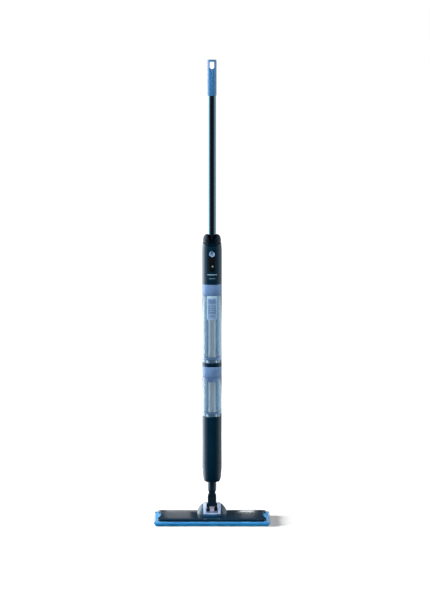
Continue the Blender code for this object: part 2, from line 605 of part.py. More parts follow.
# ---- Control housing, pole and cap ----
def build_control(spine_top):
    low, high = CONTROL_Z, CONTROL_TOP_Z
    outer = [(BODY_R, low), (BODY_R, high - 0.026), (CONTROL_TOP_R, high), (SCALLOP_R, high + SCALLOP_RISE)]
    housing = turned("control_housing", [*outer, *((r - WALL, z) for r, z in reversed(outer))], "navy_gloss")
    count = 16
    xs = [BODY_R * (1 - 2 * i / count) for i in range(count + 1)]
    scallop = [(x, high + SCALLOP_RISE * (x / SCALLOP_R) ** 2) for x in xs]
    scallop += [(-BODY_R, high + 2 * SCALLOP_RISE), (BODY_R, high + 2 * SCALLOP_RISE)]
    boolean(housing, plate("cut_scallop", [scallop], -0.05, 0.05, facing="Y"))
    button_z = low + BUTTON_ABOVE_BASE
    window_low = button_z - PANEL_LENGTH
    opening = pill(PANEL_HALF, window_low, button_z)
    boolean(housing, plate("cut_window", [opening], -BODY_R - 0.01, -0.010, facing="Y"))
    port_z = low + PORT_ABOVE_BASE
    recess = box("cut_port", (0.02, *PORT_SIZE), (-BODY_R, 0, port_z))
    boolean(housing, recess)
    socket_size = (0.0070, PORT_SIZE[0] - 2 * GAP, PORT_SIZE[1] - 2 * GAP)
    socket_x = -BODY_R + PORT_DEPTH + socket_size[0] / 2
    box("charge_socket", socket_size, (socket_x, 0, port_z), "lens_black")

    lens = plate("display_lens", [pill(PANEL_HALF - GAP, window_low, button_z)], -BODY_R - 0.01, -0.0240, "lens_black", "Y")
    face = turned("keep_lens", [(0, low), (BODY_R - 0.0004, low), (BODY_R - 0.0004, high), (0, high)])
    boolean(lens, face, "INTERSECT")
    hole = rod("cut_button", BUTTON_R + GAP, (0, -0.05, button_z), (0, 0, button_z), steps=28)
    boolean(lens, hole)

    dome = [(0, 0.0010), (0.55, 0.0008), (0.85, 0.0003), (1.0, -0.0006)]
    profile = [(r * BUTTON_R, h) for r, h in dome]
    profile += [(BUTTON_R, -0.0028), (0.0025, -0.0028), (0.0025, -0.0046), (0, -0.0046)]
    button = turned("power_button", profile, "button_blue", 28)
    button.rotation_euler = (math.pi / 2, 0, 0)
    button.location = (0, -BODY_R, button_z)
    switch_front = -BODY_R + 0.0046 + BUTTON_TRAVEL + GAP
    board_front = switch_front + 0.0020
    rod("button_switch", 0.0032, (0, switch_front, button_z), (0, board_front - GAP, button_z), "inner_grey", 16)
    board_z = (window_low + button_z) / 2
    box("control_board", (0.018, 0.0014, PANEL_LENGTH + 0.018), (0, board_front + 0.0007, board_z), "board_green")

    inner = BODY_R - WALL - GAP
    hold = SPINE_R + GAP
    pole_seat = spine_top + 0.0030
    core = [(hold, low), (inner, low), (inner, low + 0.003), (SOCKET_R, low + 0.003), (SOCKET_R, high - 0.001)]
    core += [(POLE_R + GAP, high - 0.001), (POLE_R + GAP, pole_seat), (hold - 0.0015, pole_seat)]
    core += [(hold - 0.0015, spine_top + GAP), (hold, spine_top + GAP)]
    turned("pole_socket", core, "inner_grey", 32)
    return pole_seat


def build_collar():
    low, high = COLLAR_Z, COLLAR_TOP_Z
    sleeve_r = SCALLOP_R - WALL - GAP
    shoulder = CONTROL_TOP_Z + SCALLOP_RISE + GAP
    step = (high - shoulder) / 4
    outer = [(sleeve_r, low), (sleeve_r, shoulder), (COLLAR_R, shoulder + step * 0.6), (COLLAR_R, shoulder + step)]
    outer += [(COLLAR_R * 0.94, shoulder + 2.3 * step), (COLLAR_R * 0.85, high - step * 0.5), (COLLAR_TOP_R, high)]
    bore = POLE_R + 0.0010
    collar = turned("top_collar", [*outer, (bore, high), (bore, low)], "navy_gloss")
    v_low = low + 0.0085
    notch = [(-0.0030, v_low + 0.0015), (0, v_low), (0.0030, v_low + 0.0015), (0.0150, high + 0.004), (-0.0150, high + 0.004)]
    boolean(collar, plate("cut_notch", [notch], -BODY_R - 0.01, 0, facing="Y"))


def build_pole(pole_seat):
    low, high = pole_seat + GAP, CAP_Z + CAP_HEIGHT - CAP_SLOT_HEIGHT - 0.0200
    tube = [(POLE_R, low), (POLE_R, high), (POLE_R - TUBE_WALL, high), (POLE_R - TUBE_WALL, low)]
    turned("pole", tube, "pole_paint", 32)

    loop_top = CAP_TOP_Z - CAP_LOOP_WALL
    slot_low = loop_top - CAP_SLOT_HEIGHT
    bore = POLE_R + GAP
    edge = 0.0012
    outer = [(bore, CAP_Z), (CAP_R, CAP_Z), (CAP_R, CAP_TOP_Z - 2 * edge), (CAP_R - edge, CAP_TOP_Z - edge / 2)]
    cap_profile = [(0, high + GAP), (bore, high + GAP), *outer, (CAP_R - 2.5 * edge, CAP_TOP_Z), (0, CAP_TOP_Z)]
    cap = turned("hanging_cap", cap_profile, "cap_blue", 32)
    mouth = arc((0, slot_low + CAP_SLOT_HALF), CAP_SLOT_HALF, 180, 360, 10)
    corner = 0.0020
    mouth += arc((CAP_SLOT_HALF - corner, loop_top - corner), corner, 0, 90, 3)
    mouth += arc((-CAP_SLOT_HALF + corner, loop_top - corner), corner, 90, 180, 3)
    boolean(cap, plate("cut_hang_slot", [mouth], -0.05, 0.05, facing="Y"))


def build_wiring(lid_z):
    top_z = CONTROL_Z + 0.0480
    back_y = SPINE_R - SEAT_LEDGE - HARNESS_R - HARNESS_CLEAR
    points = [(0, back_y, lid_z + DISC_THICK + GAP), (0, back_y, top_z)]
    hose("wire_harness", points, HARNESS_R, "rubber")


clear_scene()
build_head()
build_cradle()
build_knuckle()
build_neck()
INSIDE, BOSS_LOW = build_lower_housing()
HEAD_Z, MOTOR_TOP, LID_Z = build_drive(INSIDE, BOSS_LOW)
build_hoses(HEAD_Z, MOTOR_TOP)
build_tank("dirty_tank", DIRTY_Z, DIRTY_TANK_HEIGHT, DIRTY_SEAL_DROP)
SPINE_TOP = build_spine_and_ring(BOSS_LOW)
build_tank("clean_tank", CLEAN_Z, CLEAN_TANK_HEIGHT, CLEAN_SEAL_DROP)
POLE_SEAT = build_control(SPINE_TOP)
build_collar()
build_pole(POLE_SEAT)
build_wiring(LID_Z)
smooth_round_pieces()
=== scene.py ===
import math

import bmesh
import bpy
from mathutils import Matrix, Vector, noise


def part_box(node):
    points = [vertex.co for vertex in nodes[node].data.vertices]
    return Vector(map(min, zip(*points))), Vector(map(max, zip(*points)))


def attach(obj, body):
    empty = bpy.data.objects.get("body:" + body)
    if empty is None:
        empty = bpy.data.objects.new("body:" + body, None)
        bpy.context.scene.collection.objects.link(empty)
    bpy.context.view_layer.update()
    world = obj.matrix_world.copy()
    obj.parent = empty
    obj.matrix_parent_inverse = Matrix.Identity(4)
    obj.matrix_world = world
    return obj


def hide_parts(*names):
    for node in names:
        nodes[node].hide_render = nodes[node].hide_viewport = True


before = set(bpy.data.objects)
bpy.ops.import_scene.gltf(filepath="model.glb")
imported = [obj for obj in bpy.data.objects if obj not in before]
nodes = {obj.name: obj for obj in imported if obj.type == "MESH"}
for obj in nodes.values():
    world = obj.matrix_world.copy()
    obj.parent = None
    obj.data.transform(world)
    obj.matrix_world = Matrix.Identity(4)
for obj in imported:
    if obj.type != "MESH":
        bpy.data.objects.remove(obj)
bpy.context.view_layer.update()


# ==== Camera, floor and studio light ====
# The mop stands alone on a seamless white floor. A long lens looks slightly down at it. A large soft light on
# its left draws the wide bright edge down every round piece, and a smaller one on its right the thin edge.
AIM = Vector((0.0086, 0.0, 0.661))
CAMERA_PLACE = Vector((0.0086, -6.7, 1.60))
LENS_MM = 145.1

camera_data = bpy.data.cameras.new("camera")
camera_data.lens = LENS_MM
camera_data.sensor_width = 36.0
camera_data.clip_end = 100
camera = bpy.data.objects.new("camera", camera_data)
bpy.context.scene.collection.objects.link(camera)
camera.location = CAMERA_PLACE
camera.rotation_mode = "QUATERNION"
camera.rotation_quaternion = (AIM - CAMERA_PLACE).to_track_quat("-Z", "Y")
bpy.context.scene.camera = camera
bpy.context.scene.view_settings.view_transform = "Standard"


def soft_light(name, place, aim, size, power, gloss_only=False):
    """A rectangular softbox, (width, height), that faces aim. It lights colour, or only shows in gloss."""
    data = bpy.data.lights.new(name, "AREA")
    data.shape = "RECTANGLE"
    data.size, data.size_y = size
    data.energy = power
    light = bpy.data.objects.new(name, data)
    bpy.context.scene.collection.objects.link(light)
    light.location = place
    light.rotation_mode = "QUATERNION"
    light.rotation_quaternion = (Vector(aim) - Vector(place)).to_track_quat("-Z", "Y")
    light.visible_camera = False
    light.visible_transmission = False
    light.visible_glossy = gloss_only
    light.visible_diffuse = not gloss_only
    return light


mop_lights = [
    soft_light("left_softbox", (-3.2, -0.9, 1.25), (0, 0, 0.1), (0.9, 0.9), 165),
    soft_light("front_fill", (0.8, -4.0, 2.4), (0, 0, 0.5), (3.0, 3.0), 150),
    soft_light("top_softbox", (-0.2, -0.2, 3.6), (0, 0, 0.2), (2.4, 2.4), 112),
    soft_light("right_softbox", (2.6, -1.2, 1.3), (0, 0, 0.6), (1.0, 1.0), 34),
]
floor_key = soft_light("floor_key", (-3.0, -0.4, 1.17), (0, 0, 0.0), (0.9, 0.9), 320)
# Small cards behind the head show as soft bands of light near its ends.
for name, low, high, power in (
    ("left_tall_card", (-0.185, 0.13), (-0.085, 0.36), 0.034),
    ("left_low_card", (-0.164, 0.03), (-0.046, 0.11), 0.030),
    ("right_tall_card", (0.115, 0.13), (0.165, 0.36), 0.010),
    ("right_low_card", (0.100, 0.092), (0.150, 0.124), 0.028),
):
    middle = ((low[0] + high[0]) / 2, 0.7, (low[1] + high[1]) / 2)
    soft_light(name, middle, (middle[0], 0, middle[2]), (high[0] - low[0], high[1] - low[1]), power, True)

# Gloss mirrors a room that is dark in front, has a wall of light on the left, a weaker one on the right, and
# falls to grey behind. Each stop is (turn from the camera's side, left positive, in degrees; brightness).
RIGHT_WALL = ((-180, 0.25), (-155, 0.5), (-135, 0.9), (-118, 1.7), (-98, 2.3), (-76, 0.9), (-60, 0.5), (-42, 0.05))
LEFT_WALL = ((45, 0.05), (58, 0.4), (68, 1.8), (86, 2.5), (104, 7.0), (128, 6.5), (150, 2.4), (166, 0.6))
LEFT_WALL += ((180, 0.25),)
ROOM_PEAK = 7.0
world = bpy.data.worlds.new("studio")
world.use_nodes = True
world.cycles_visibility.diffuse = False
bpy.context.scene.world = world
tree = world.node_tree
tree.nodes.clear()


def join(kind, **inputs):
    """A new world node, its numbered or named inputs linked to sockets or set to numbers."""
    node = tree.nodes.new(kind)
    for name, value in inputs.items():
        socket = node.inputs[int(name[1:])] if name[0] == "_" else node.inputs[name]
        if isinstance(value, bpy.types.NodeSocket):
            tree.links.new(value, socket)
        else:
            socket.default_value = value
    return node


def sums(operation, *values):
    """The result of one step of arithmetic on sockets or numbers."""
    node = join("ShaderNodeMath", **{f"_{i}": value for i, value in enumerate(values)})
    node.operation = operation
    return node.outputs[0]


split = join("ShaderNodeSeparateXYZ", _0=tree.nodes.new("ShaderNodeTexCoord").outputs["Generated"])
turn = sums("ARCTAN2", sums("MULTIPLY", split.outputs["X"], -1.0), sums("MULTIPLY", split.outputs["Y"], -1.0))
room = join("ShaderNodeValToRGB", Fac=sums("MULTIPLY_ADD", turn, 0.5 / math.pi, 0.5))
stops = room.color_ramp.elements
while len(stops) < len(RIGHT_WALL + LEFT_WALL):
    stops.new(0.5)
for stop, (degrees, value) in zip(stops, RIGHT_WALL + LEFT_WALL):
    stop.position = degrees / 360 + 0.5
    stop.color = (*[value / ROOM_PEAK] * 3, 1)


def between(value, start, end, at_start, at_end):
    """value between start and end becomes at_start to at_end."""
    limits = {"From Min": start, "From Max": end, "To Min": at_start, "To Max": at_end}
    return join("ShaderNodeMapRange", Value=value, **limits).outputs[0]


# Above the horizon the back wall is dark, and the walls of light end at about head height and near the floor.
height = split.outputs["Z"]
back_fade = between(height, -0.03, 0.10, 1.0, 0.22)
wall_fade = between(height, 0.35, 0.80, 1.0, 0.10)
low_fade = between(height, -0.52, -0.28, 0.3, 1.0)
behind = between(split.outputs["Y"], 0.70, 0.95, 0.0, 1.0)
fade = join("ShaderNodeMix", Factor=behind, A=wall_fade, B=back_fade).outputs[0]
walls = sums("MULTIPLY", room.outputs["Color"], ROOM_PEAK)
in_room = sums("MULTIPLY", walls, sums("MULTIPLY", fade, low_fade))
# Clear plastic lets through a softened room, without the brightest part of its walls.
softened = sums("MINIMUM", sums("MULTIPLY_ADD", in_room, 0.55, 0.58), 1.5)
ray = tree.nodes.new("ShaderNodeLightPath")
through = join("ShaderNodeMix", Factor=ray.outputs["Is Transmission Ray"], A=in_room, B=softened)
room_light = join("ShaderNodeBackground", Strength=through.outputs[0], Color=(0.78, 0.91, 1.0, 1))
backdrop = join("ShaderNodeBackground", Strength=1.0, Color=(1, 1, 1, 1))
either = join("ShaderNodeMixShader", Fac=ray.outputs["Is Camera Ray"])
tree.links.new(room_light.outputs[0], either.inputs[1])
tree.links.new(backdrop.outputs[0], either.inputs[2])
join("ShaderNodeOutputWorld", Surface=either.outputs[0])

floor_bm = bmesh.new()
bmesh.ops.create_grid(floor_bm, x_segments=2, y_segments=2, size=30)
floor_mesh = bpy.data.meshes.new("floor")
floor_bm.to_mesh(floor_mesh)
floor_bm.free()
floor = bpy.data.objects.new("floor", floor_mesh)
bpy.context.scene.collection.objects.link(floor)
floor.location.z = -0.0005
floor.visible_glossy = False
floor.visible_diffuse = False
floor.visible_transmission = False
floor_paint = bpy.data.materials.new("floor_paint")
floor_paint.use_nodes = True
floor_nodes, floor_links = floor_paint.node_tree.nodes, floor_paint.node_tree.links
floor_shader = floor_nodes["Principled BSDF"]
floor_shader.inputs["Base Color"].default_value = (0.80, 0.80, 0.80, 1)
floor_shader.inputs["Roughness"].default_value = 1.0
floor_shader.inputs["Specular IOR Level"].default_value = 0.0
floor_shader.inputs["Emission Color"].default_value = (1, 1, 1, 1)
# The paper glows brighter away from the mop, up to plain white.
away = floor_nodes.new("ShaderNodeVectorMath")
away.operation = "LENGTH"
floor_links.new(floor_nodes.new("ShaderNodeTexCoord").outputs["Object"], away.inputs[0])
glow = floor_nodes.new("ShaderNodeMapRange")
glow.interpolation_type = "SMOOTHSTEP"
for name, number in zip(("From Min", "From Max", "To Min", "To Max"), (0.35, 1.3, 0.38, 1.1)):
    glow.inputs[name].default_value = number
floor_links.new(away.outputs["Value"], glow.inputs["Value"])
floor_links.new(glow.outputs["Result"], floor_shader.inputs["Emission Strength"])
floor_mesh.materials.append(floor_paint)


def keep_to_floor(light, state):
    """The light shines on the floor alone, or on all but the floor."""
    group = bpy.data.collections.new(f"{light.name}_receivers")
    group.objects.link(floor)
    light.light_linking.receiver_collection = group
    group.collection_objects[0].light_linking.link_state = state


keep_to_floor(floor_key, "INCLUDE")
for light in mop_lights:
    keep_to_floor(light, "EXCLUDE")


# ==== The washable pad ====
# A flat microfibre pad in bright blue. A woven backing carries rows of short looped pile underneath, and a folded
# tape is sewn round its edge. It holds on to the head by two strips of hook tape.
PAD_CORNER = 0.006


class Finish:
    """A material's node tree, with the few nodes that every finish here is built from."""

    def __init__(self, name):
        self.material = bpy.data.materials.new(name)
        self.material.use_nodes = True
        self.tree = self.material.node_tree
        self.shader = self.tree.nodes["Principled BSDF"]
        self.place = self.tree.nodes.new("ShaderNodeTexCoord").outputs["Object"]

    def set(self, **values):
        for name, value in values.items():
            self.shader.inputs[name.replace("_", " ")].default_value = value
        return self

    def stretched(self, stretch):
        mapping = self.tree.nodes.new("ShaderNodeMapping")
        mapping.inputs["Scale"].default_value = stretch
        self.tree.links.new(self.place, mapping.inputs["Vector"])
        return mapping.outputs["Vector"]

    def noise(self, scale, detail=3.0, stretch=(1, 1, 1), rough=0.5):
        node = self.tree.nodes.new("ShaderNodeTexNoise")
        node.inputs["Scale"].default_value = scale
        node.inputs["Detail"].default_value = detail
        node.inputs["Roughness"].default_value = rough
        self.tree.links.new(self.stretched(stretch), node.inputs["Vector"])
        return node.outputs["Fac"]

    def cells(self, scale, stretch=(1, 1, 1), feature="F1"):
        node = self.tree.nodes.new("ShaderNodeTexVoronoi")
        node.feature = feature
        node.inputs["Scale"].default_value = scale
        self.tree.links.new(self.stretched(stretch), node.inputs["Vector"])
        return node.outputs["Distance"]

    def ramp(self, value, low, high, start=0.0, end=1.0):
        """value between start and end becomes low to high: two colours, or two numbers."""
        if isinstance(low, tuple):
            node = self.tree.nodes.new("ShaderNodeValToRGB")
            first, last = node.color_ramp.elements
            first.position, last.position = start, end
            first.color, last.color = (*low, 1), (*high, 1)
            self.tree.links.new(value, node.inputs["Fac"])
            return node.outputs["Color"]
        node = self.tree.nodes.new("ShaderNodeMapRange")
        for name, number in zip(("From Min", "From Max", "To Min", "To Max"), (start, end, low, high)):
            node.inputs[name].default_value = number
        self.tree.links.new(value, node.inputs["Value"])
        return node.outputs["Result"]

    def link(self, value, socket):
        self.tree.links.new(value, self.shader.inputs[socket])
        return self

    def colour(self, value, low, high, start=0.0, end=1.0):
        return self.link(self.ramp(value, low, high, start, end), "Base Color")

    def rough(self, value, low, high, start=0.0, end=1.0):
        return self.link(self.ramp(value, low, high, start, end), "Roughness")

    def add(self, a, b, weight=1.0):
        node = self.tree.nodes.new("ShaderNodeMath")
        node.operation = "MULTIPLY_ADD"
        node.inputs[1].default_value = weight
        self.tree.links.new(b, node.inputs[0])
        self.tree.links.new(a, node.inputs[2])
        return node.outputs[0]

    def bump(self, height, strength, distance):
        node = self.tree.nodes.new("ShaderNodeBump")
        node.inputs["Strength"].default_value = strength
        node.inputs["Distance"].default_value = distance
        self.tree.links.new(height, node.inputs["Height"])
        return self.link(node.outputs["Normal"], "Normal")


def arc(centre, radius, first, last, steps):
    """Points along a circle, from first to last in degrees."""
    turns = [math.radians(first + (last - first) * i / steps) for i in range(steps + 1)]
    return [(centre[0] + radius * math.cos(a), centre[1] + radius * math.sin(a)) for a in turns]


def rounded_outline(size, corner, steps=8):
    """Points round a rectangle with rounded corners, counter-clockwise."""
    x, y = size[0] / 2 - corner, size[1] / 2 - corner
    points = []
    for sx, sy, start in ((1, 1, 0), (-1, 1, 90), (-1, -1, 180), (1, -1, 270)):
        points += arc((sx * x, sy * y), corner, start, start + 90, steps)
    return points


def place_piece(name, bm, finish, body, replaced=(), sharp=35.0):
    """The finished mesh as an object at the origin: shaded smooth, riding on its body."""
    mesh = bpy.data.meshes.new(name)
    bm.to_mesh(mesh)
    bm.free()
    obj = bpy.data.objects.new(name, mesh)
    bpy.context.scene.collection.objects.link(obj)
    mesh.materials.append(finish.material)
    mesh.shade_smooth()
    mesh.set_sharp_from_angle(angle=math.radians(sharp))
    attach(obj, body)
    if replaced:
        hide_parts(*replaced)
    return obj


def prism(outline, step):
    """A closed solid: a flat outline of (x, y, z) points, drawn out by step."""
    bm = bmesh.new()
    face = bm.faces.new([bm.verts.new(point) for point in outline])
    drawn = bmesh.ops.extrude_face_region(bm, geom=[face])
    far = [v for v in drawn["geom"] if isinstance(v, bmesh.types.BMVert)]
    bmesh.ops.translate(bm, verts=far, vec=step)
    bmesh.ops.recalc_face_normals(bm, faces=bm.faces)
    return bm


def slab(outline, low, high):
    """An upright solid with this (x, y) outline, from one height to another."""
    return prism([(x, y, low) for x, y in outline], (0, 0, high - low))


def mesh_of(obj):
    """The object's mesh as its modifiers leave it, and the object gone."""
    bpy.context.view_layer.update()
    view = bpy.context.evaluated_depsgraph_get()
    mesh = bpy.data.meshes.new_from_object(obj.evaluated_get(view))
    bpy.data.objects.remove(obj)
    bm = bmesh.new()
    bm.from_mesh(mesh)
    return bm


def loose(bm):
    """A short-lived object around bm, for modifiers to work on."""
    mesh = bpy.data.meshes.new("blank")
    bm.to_mesh(mesh)
    bm.free()
    obj = bpy.data.objects.new("blank", mesh)
    bpy.context.scene.collection.objects.link(obj)
    return obj


pad_low, pad_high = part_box("mop_pad")
pad_size = (pad_high[0] - pad_low[0], pad_high[1] - pad_low[1])
pad_top = pad_high[2]

microfibre = Finish("microfibre").set(Roughness=0.95, Sheen_Weight=0.6, Sheen_Roughness=0.4)
microfibre.set(Sheen_Tint=(0.45, 0.75, 1.0, 1.0), Specular_IOR_Level=0.15)
tufts = microfibre.noise(620, 4.0)
patches = microfibre.noise(28, 2.0)
microfibre.colour(microfibre.add(patches, tufts, 0.8), (0.006, 0.12, 0.33), (0.034, 0.30, 0.61), 0.55, 1.25)
microfibre.bump(microfibre.add(tufts, microfibre.cells(900), 0.7), 0.7, 0.0008)


def puffed(bm, voxel, pressure, cap):
    """bm remeshed and blown up a little by the cloth solver. No point moves further than cap."""
    obj = loose(bm)
    remesh = obj.modifiers.new("remesh", "REMESH")
    remesh.mode = "VOXEL"
    remesh.voxel_size = voxel
    view = bpy.context.evaluated_depsgraph_get()
    still = bpy.data.meshes.new_from_object(obj.evaluated_get(view))
    obj.modifiers.clear()
    obj.data = still
    start = [v.co.copy() for v in still.vertices]
    cloth = obj.modifiers.new("cloth", "CLOTH")
    cloth.settings.use_pressure = True
    cloth.settings.uniform_pressure_force = pressure
    cloth.settings.effector_weights.gravity = 0
    cloth.settings.quality = 5
    for step in range(1, 17):
        bpy.context.scene.frame_set(step)
    view = bpy.context.evaluated_depsgraph_get()
    blown = bpy.data.meshes.new_from_object(obj.evaluated_get(view))
    obj.modifiers.clear()
    obj.data = blown
    bpy.context.scene.frame_set(1)
    for v, at in zip(blown.vertices, start):
        move = v.co - at
        if move.length > cap:
            v.co = at + move * (cap / move.length)
    bm = bmesh.new()
    bm.from_mesh(obj.data)
    bpy.data.objects.remove(obj)
    return bm


PILE_PITCH, PILE_PROUD = 0.0052, 0.002  # one row of loops to the next; the most that a tuft stands out


def pile_rows(bm):
    """Rows of pile on the sides and underneath, the flat top held to the backing, and nothing below the floor."""
    reach_x, reach_y = pad_size[0] / 2 + PILE_PROUD, pad_size[1] / 2 + PILE_PROUD
    bmesh.ops.subdivide_edges(bm, edges=bm.edges, cuts=1, use_grid_fill=True)
    bm.normal_update()
    moves = []
    for v in bm.verts:
        side = max(0.0, 1 - abs(v.normal.z) * 1.5)
        along = v.co.x if abs(v.normal.y) > abs(v.normal.x) else v.co.y
        row = math.cos(along * 2 * math.pi / PILE_PITCH)
        clump = noise.noise(v.co * 220) * 0.6 + noise.noise(v.co * 480) * 0.4
        moves.append(v.normal * (side * (0.00035 * row + 0.0005 * clump) + (1 - side) * 0.0003 * clump))
    for v, move in zip(bm.verts, moves):
        v.co += move
        v.co.z = min(max(v.co.z, 0.0), pad_top)
        v.co.x = min(max(v.co.x, -reach_x), reach_x)
        v.co.y = min(max(v.co.y, -reach_y), reach_y)


pad_plan = rounded_outline((pad_size[0] - 0.0015, pad_size[1] - 0.0015), PAD_CORNER, 6)
pad_blank = slab(pad_plan, 0.0002, pad_top - 0.0008)
pad_bm = puffed(pad_blank, 0.0036, 3.0, 0.0014)
pile_rows(pad_bm)
pad = place_piece("microfibre_pad", pad_bm, microfibre, "pad", ["mop_pad"], 180)

# The binding tape is a woven band folded over the pad's top edge, sewn down with a running stitch.
tape = Finish("binding_tape").set(Roughness=0.85, Sheen_Weight=0.3, Specular_IOR_Level=0.2)
tape_weave = tape.noise(1500, 1.0, (1, 1, 0.4))
tape.colour(tape_weave, (0.010, 0.16, 0.46), (0.035, 0.30, 0.70), 0.3, 0.7)
tape.bump(tape_weave, 0.4, 0.0003)
TAPE_WIDTH, TAPE_DROP, TAPE_THICK = 0.0060, 0.0042, 0.0006


def folded_tape():
    """The tape: a flat ring on the pad's top, its outer edge turned down over the side, then thickened."""
    bm = bmesh.new()
    outline = rounded_outline((pad_size[0] + 0.0004, pad_size[1] + 0.0004), PAD_CORNER, 10)
    face = bm.faces.new([bm.verts.new((x, y, pad_top - 0.0001)) for x, y in outline])
    bmesh.ops.inset_region(bm, faces=[face], thickness=TAPE_WIDTH, use_boundary=True, use_even_offset=True)
    bmesh.ops.delete(bm, geom=[face], context="FACES_ONLY")

    def near_edge(v):
        return max(abs(v.co.x) - pad_size[0] / 2, abs(v.co.y) - pad_size[1] / 2) > -PAD_CORNER * 0.5

    rim = [e for e in bm.edges if e.is_boundary and all(near_edge(v) for v in e.verts)]
    down = bmesh.ops.extrude_edge_only(bm, edges=rim)
    lower = [v for v in down["geom"] if isinstance(v, bmesh.types.BMVert)]
    bmesh.ops.translate(bm, verts=lower, vec=(0, 0, -TAPE_DROP))
    bmesh.ops.recalc_face_normals(bm, faces=bm.faces)
    if sum(f.normal.z for f in bm.faces) < 0:
        bmesh.ops.reverse_faces(bm, faces=bm.faces)
    tape_obj = loose(bm)
    solid = tape_obj.modifiers.new("thickness", "SOLIDIFY")
    solid.thickness = TAPE_THICK
    solid.offset = -1
    return mesh_of(tape_obj)


place_piece("pad_binding_tape", folded_tape(), tape, "pad", sharp=50)

stitch_thread = Finish("stitch_thread").set(Roughness=0.7, Sheen_Weight=0.3)
stitch_thread.colour(stitch_thread.noise(900), (0.05, 0.30, 0.62), (0.12, 0.45, 0.80))


def stitches(inset, pitch, length, z):
    """Short stitches lying along the tape, all round."""
    outline = rounded_outline((pad_size[0] - 2 * inset, pad_size[1] - 2 * inset), PAD_CORNER * 0.6, 8)
    bm = bmesh.new()
    spare = 0.0
    for here, there in zip(outline, outline[1:] + outline[:1]):
        a, b = Vector(here), Vector(there)
        span = (b - a).length
        along = (b - a) / span if span else Vector((1, 0))
        at = spare
        while at < span:
            middle = a + along * at
            place = Matrix.Translation((*middle, z)) @ Matrix.Rotation(math.atan2(along.y, along.x), 4, "Z")
            shape = Matrix.Diagonal((length / 2, 0.00035, 0.0002, 1))
            bmesh.ops.create_icosphere(bm, subdivisions=1, radius=1.0, matrix=place @ shape)
            at += pitch
        spare = at - span
    return bm


seam = stitches(0.0040, 0.0034, 0.0024, pad_top - 0.00012)
place_piece("pad_edge_stitches", seam, stitch_thread, "pad")


# ==== Hook tape and the head's base plate ====
# Two strips of dark hook tape are glued under the base plate and hold the pad. The base plate is a thin satin
# moulding with a long slit in front, where clean water comes out, and one behind, where used water is drawn in.
hook_tape = Finish("hook_tape").set(Roughness=0.9, Specular_IOR_Level=0.25)
hooks = hook_tape.cells(1400)
hook_tape.colour(hooks, (0.03, 0.035, 0.045), (0.14, 0.16, 0.19))
hook_tape.bump(hooks, 0.8, 0.0006)

satin_navy = Finish("satin_navy_moulding").set(Specular_IOR_Level=0.6)
grain = satin_navy.noise(2600, 2.0)
rubbed = satin_navy.noise(36, 4.0)
satin_navy.colour(rubbed, (0.0006, 0.006, 0.014), (0.0015, 0.0095, 0.020), 0.3, 0.7)
satin_navy.rough(rubbed, 0.30, 0.46, 0.3, 0.7)
satin_navy.bump(grain, 0.22, 0.00012)

inner_moulding = Finish("inner_moulding").set(Specular_IOR_Level=0.4)
inner_moulding.colour(inner_moulding.noise(60), (0.22, 0.24, 0.26), (0.32, 0.34, 0.36))
inner_moulding.rough(inner_moulding.noise(240), 0.45, 0.62)
inner_moulding.bump(inner_moulding.noise(2200), 0.15, 0.0001)


def refinish(finish, *names):
    """Plain pieces whose shape stays as it is, with this finish on them."""
    for name in names:
        materials = nodes[name].data.materials
        for i in range(len(materials)):
            materials[i] = finish.material


refinish(hook_tape, "hook_strip_front", "hook_strip_rear")
refinish(satin_navy, "base_plate")
refinish(inner_moulding, "wetting_bar", "suction_bar")


# ==== The head's cover ====
# One thin moulding in dark navy gloss, crowned across its width, with a hollow in each end between two rounded
# horns and a soft radius round its rim.
def navy_gloss_finish(name, deep, worn, specular=0.5):
    """Dark gloss moulding: finger smudges, dust in the polish and fine upright scratches, between two blues."""
    finish = Finish(name).set(IOR=1.5, Specular_IOR_Level=specular)
    smudge = finish.noise(22, 5.0, rough=0.6)
    dust = finish.noise(700, 2.0)
    scratch = finish.noise(90, 2.0, (14, 14, 0.6))
    finish.colour(smudge, deep, worn, 0.3, 0.7)
    finish.rough(finish.add(smudge, scratch, 0.35), 0.10, 0.24, 0.45, 0.95)
    return finish.bump(finish.add(dust, scratch, 0.5), 0.035, 0.0001)


cover_gloss = navy_gloss_finish("gloss_head_cover", (0.0005, 0.0105, 0.025), (0.0010, 0.0145, 0.033))
gloss_navy = navy_gloss_finish("gloss_navy_moulding", (0.0007, 0.0110, 0.023), (0.0013, 0.0140, 0.029), 0.22)


def combined(bm, other, operation="DIFFERENCE"):
    """bm with other cut from it, joined to it, or kept only where both are."""
    base, tool = loose(bm), loose(other)
    modifier = base.modifiers.new("combine", "BOOLEAN")
    modifier.operation = operation
    modifier.solver = "EXACT"
    modifier.object = tool
    result = mesh_of(base)
    bpy.data.objects.remove(tool)
    return result


def eased(bm, width, segments=3, angle=32.0):
    """Every sharp edge of bm given a small radius."""
    base = loose(bm)
    modifier = base.modifiers.new("ease", "BEVEL")
    modifier.width = width
    modifier.segments = segments
    modifier.limit_method = "ANGLE"
    modifier.angle_limit = math.radians(angle)
    modifier.use_clamp_overlap = True
    modifier.miter_outer = "MITER_ARC"
    return mesh_of(base)


def copy_of(node):
    """A welded copy of a piece's mesh, with its flat faces made whole again."""
    bm = bmesh.new()
    bm.from_mesh(nodes[node].data)
    bmesh.ops.remove_doubles(bm, verts=bm.verts, dist=0.00001)
    bmesh.ops.dissolve_limit(bm, angle_limit=math.radians(0.5), verts=bm.verts, edges=bm.edges)
    return bm


cover_low, cover_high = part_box("head_cover")
COVER_CORNER, HOLLOW_DEEP, COVER_SKIRT = 0.014, 0.0100, 0.0045
COVER_SKIN = 0.0022


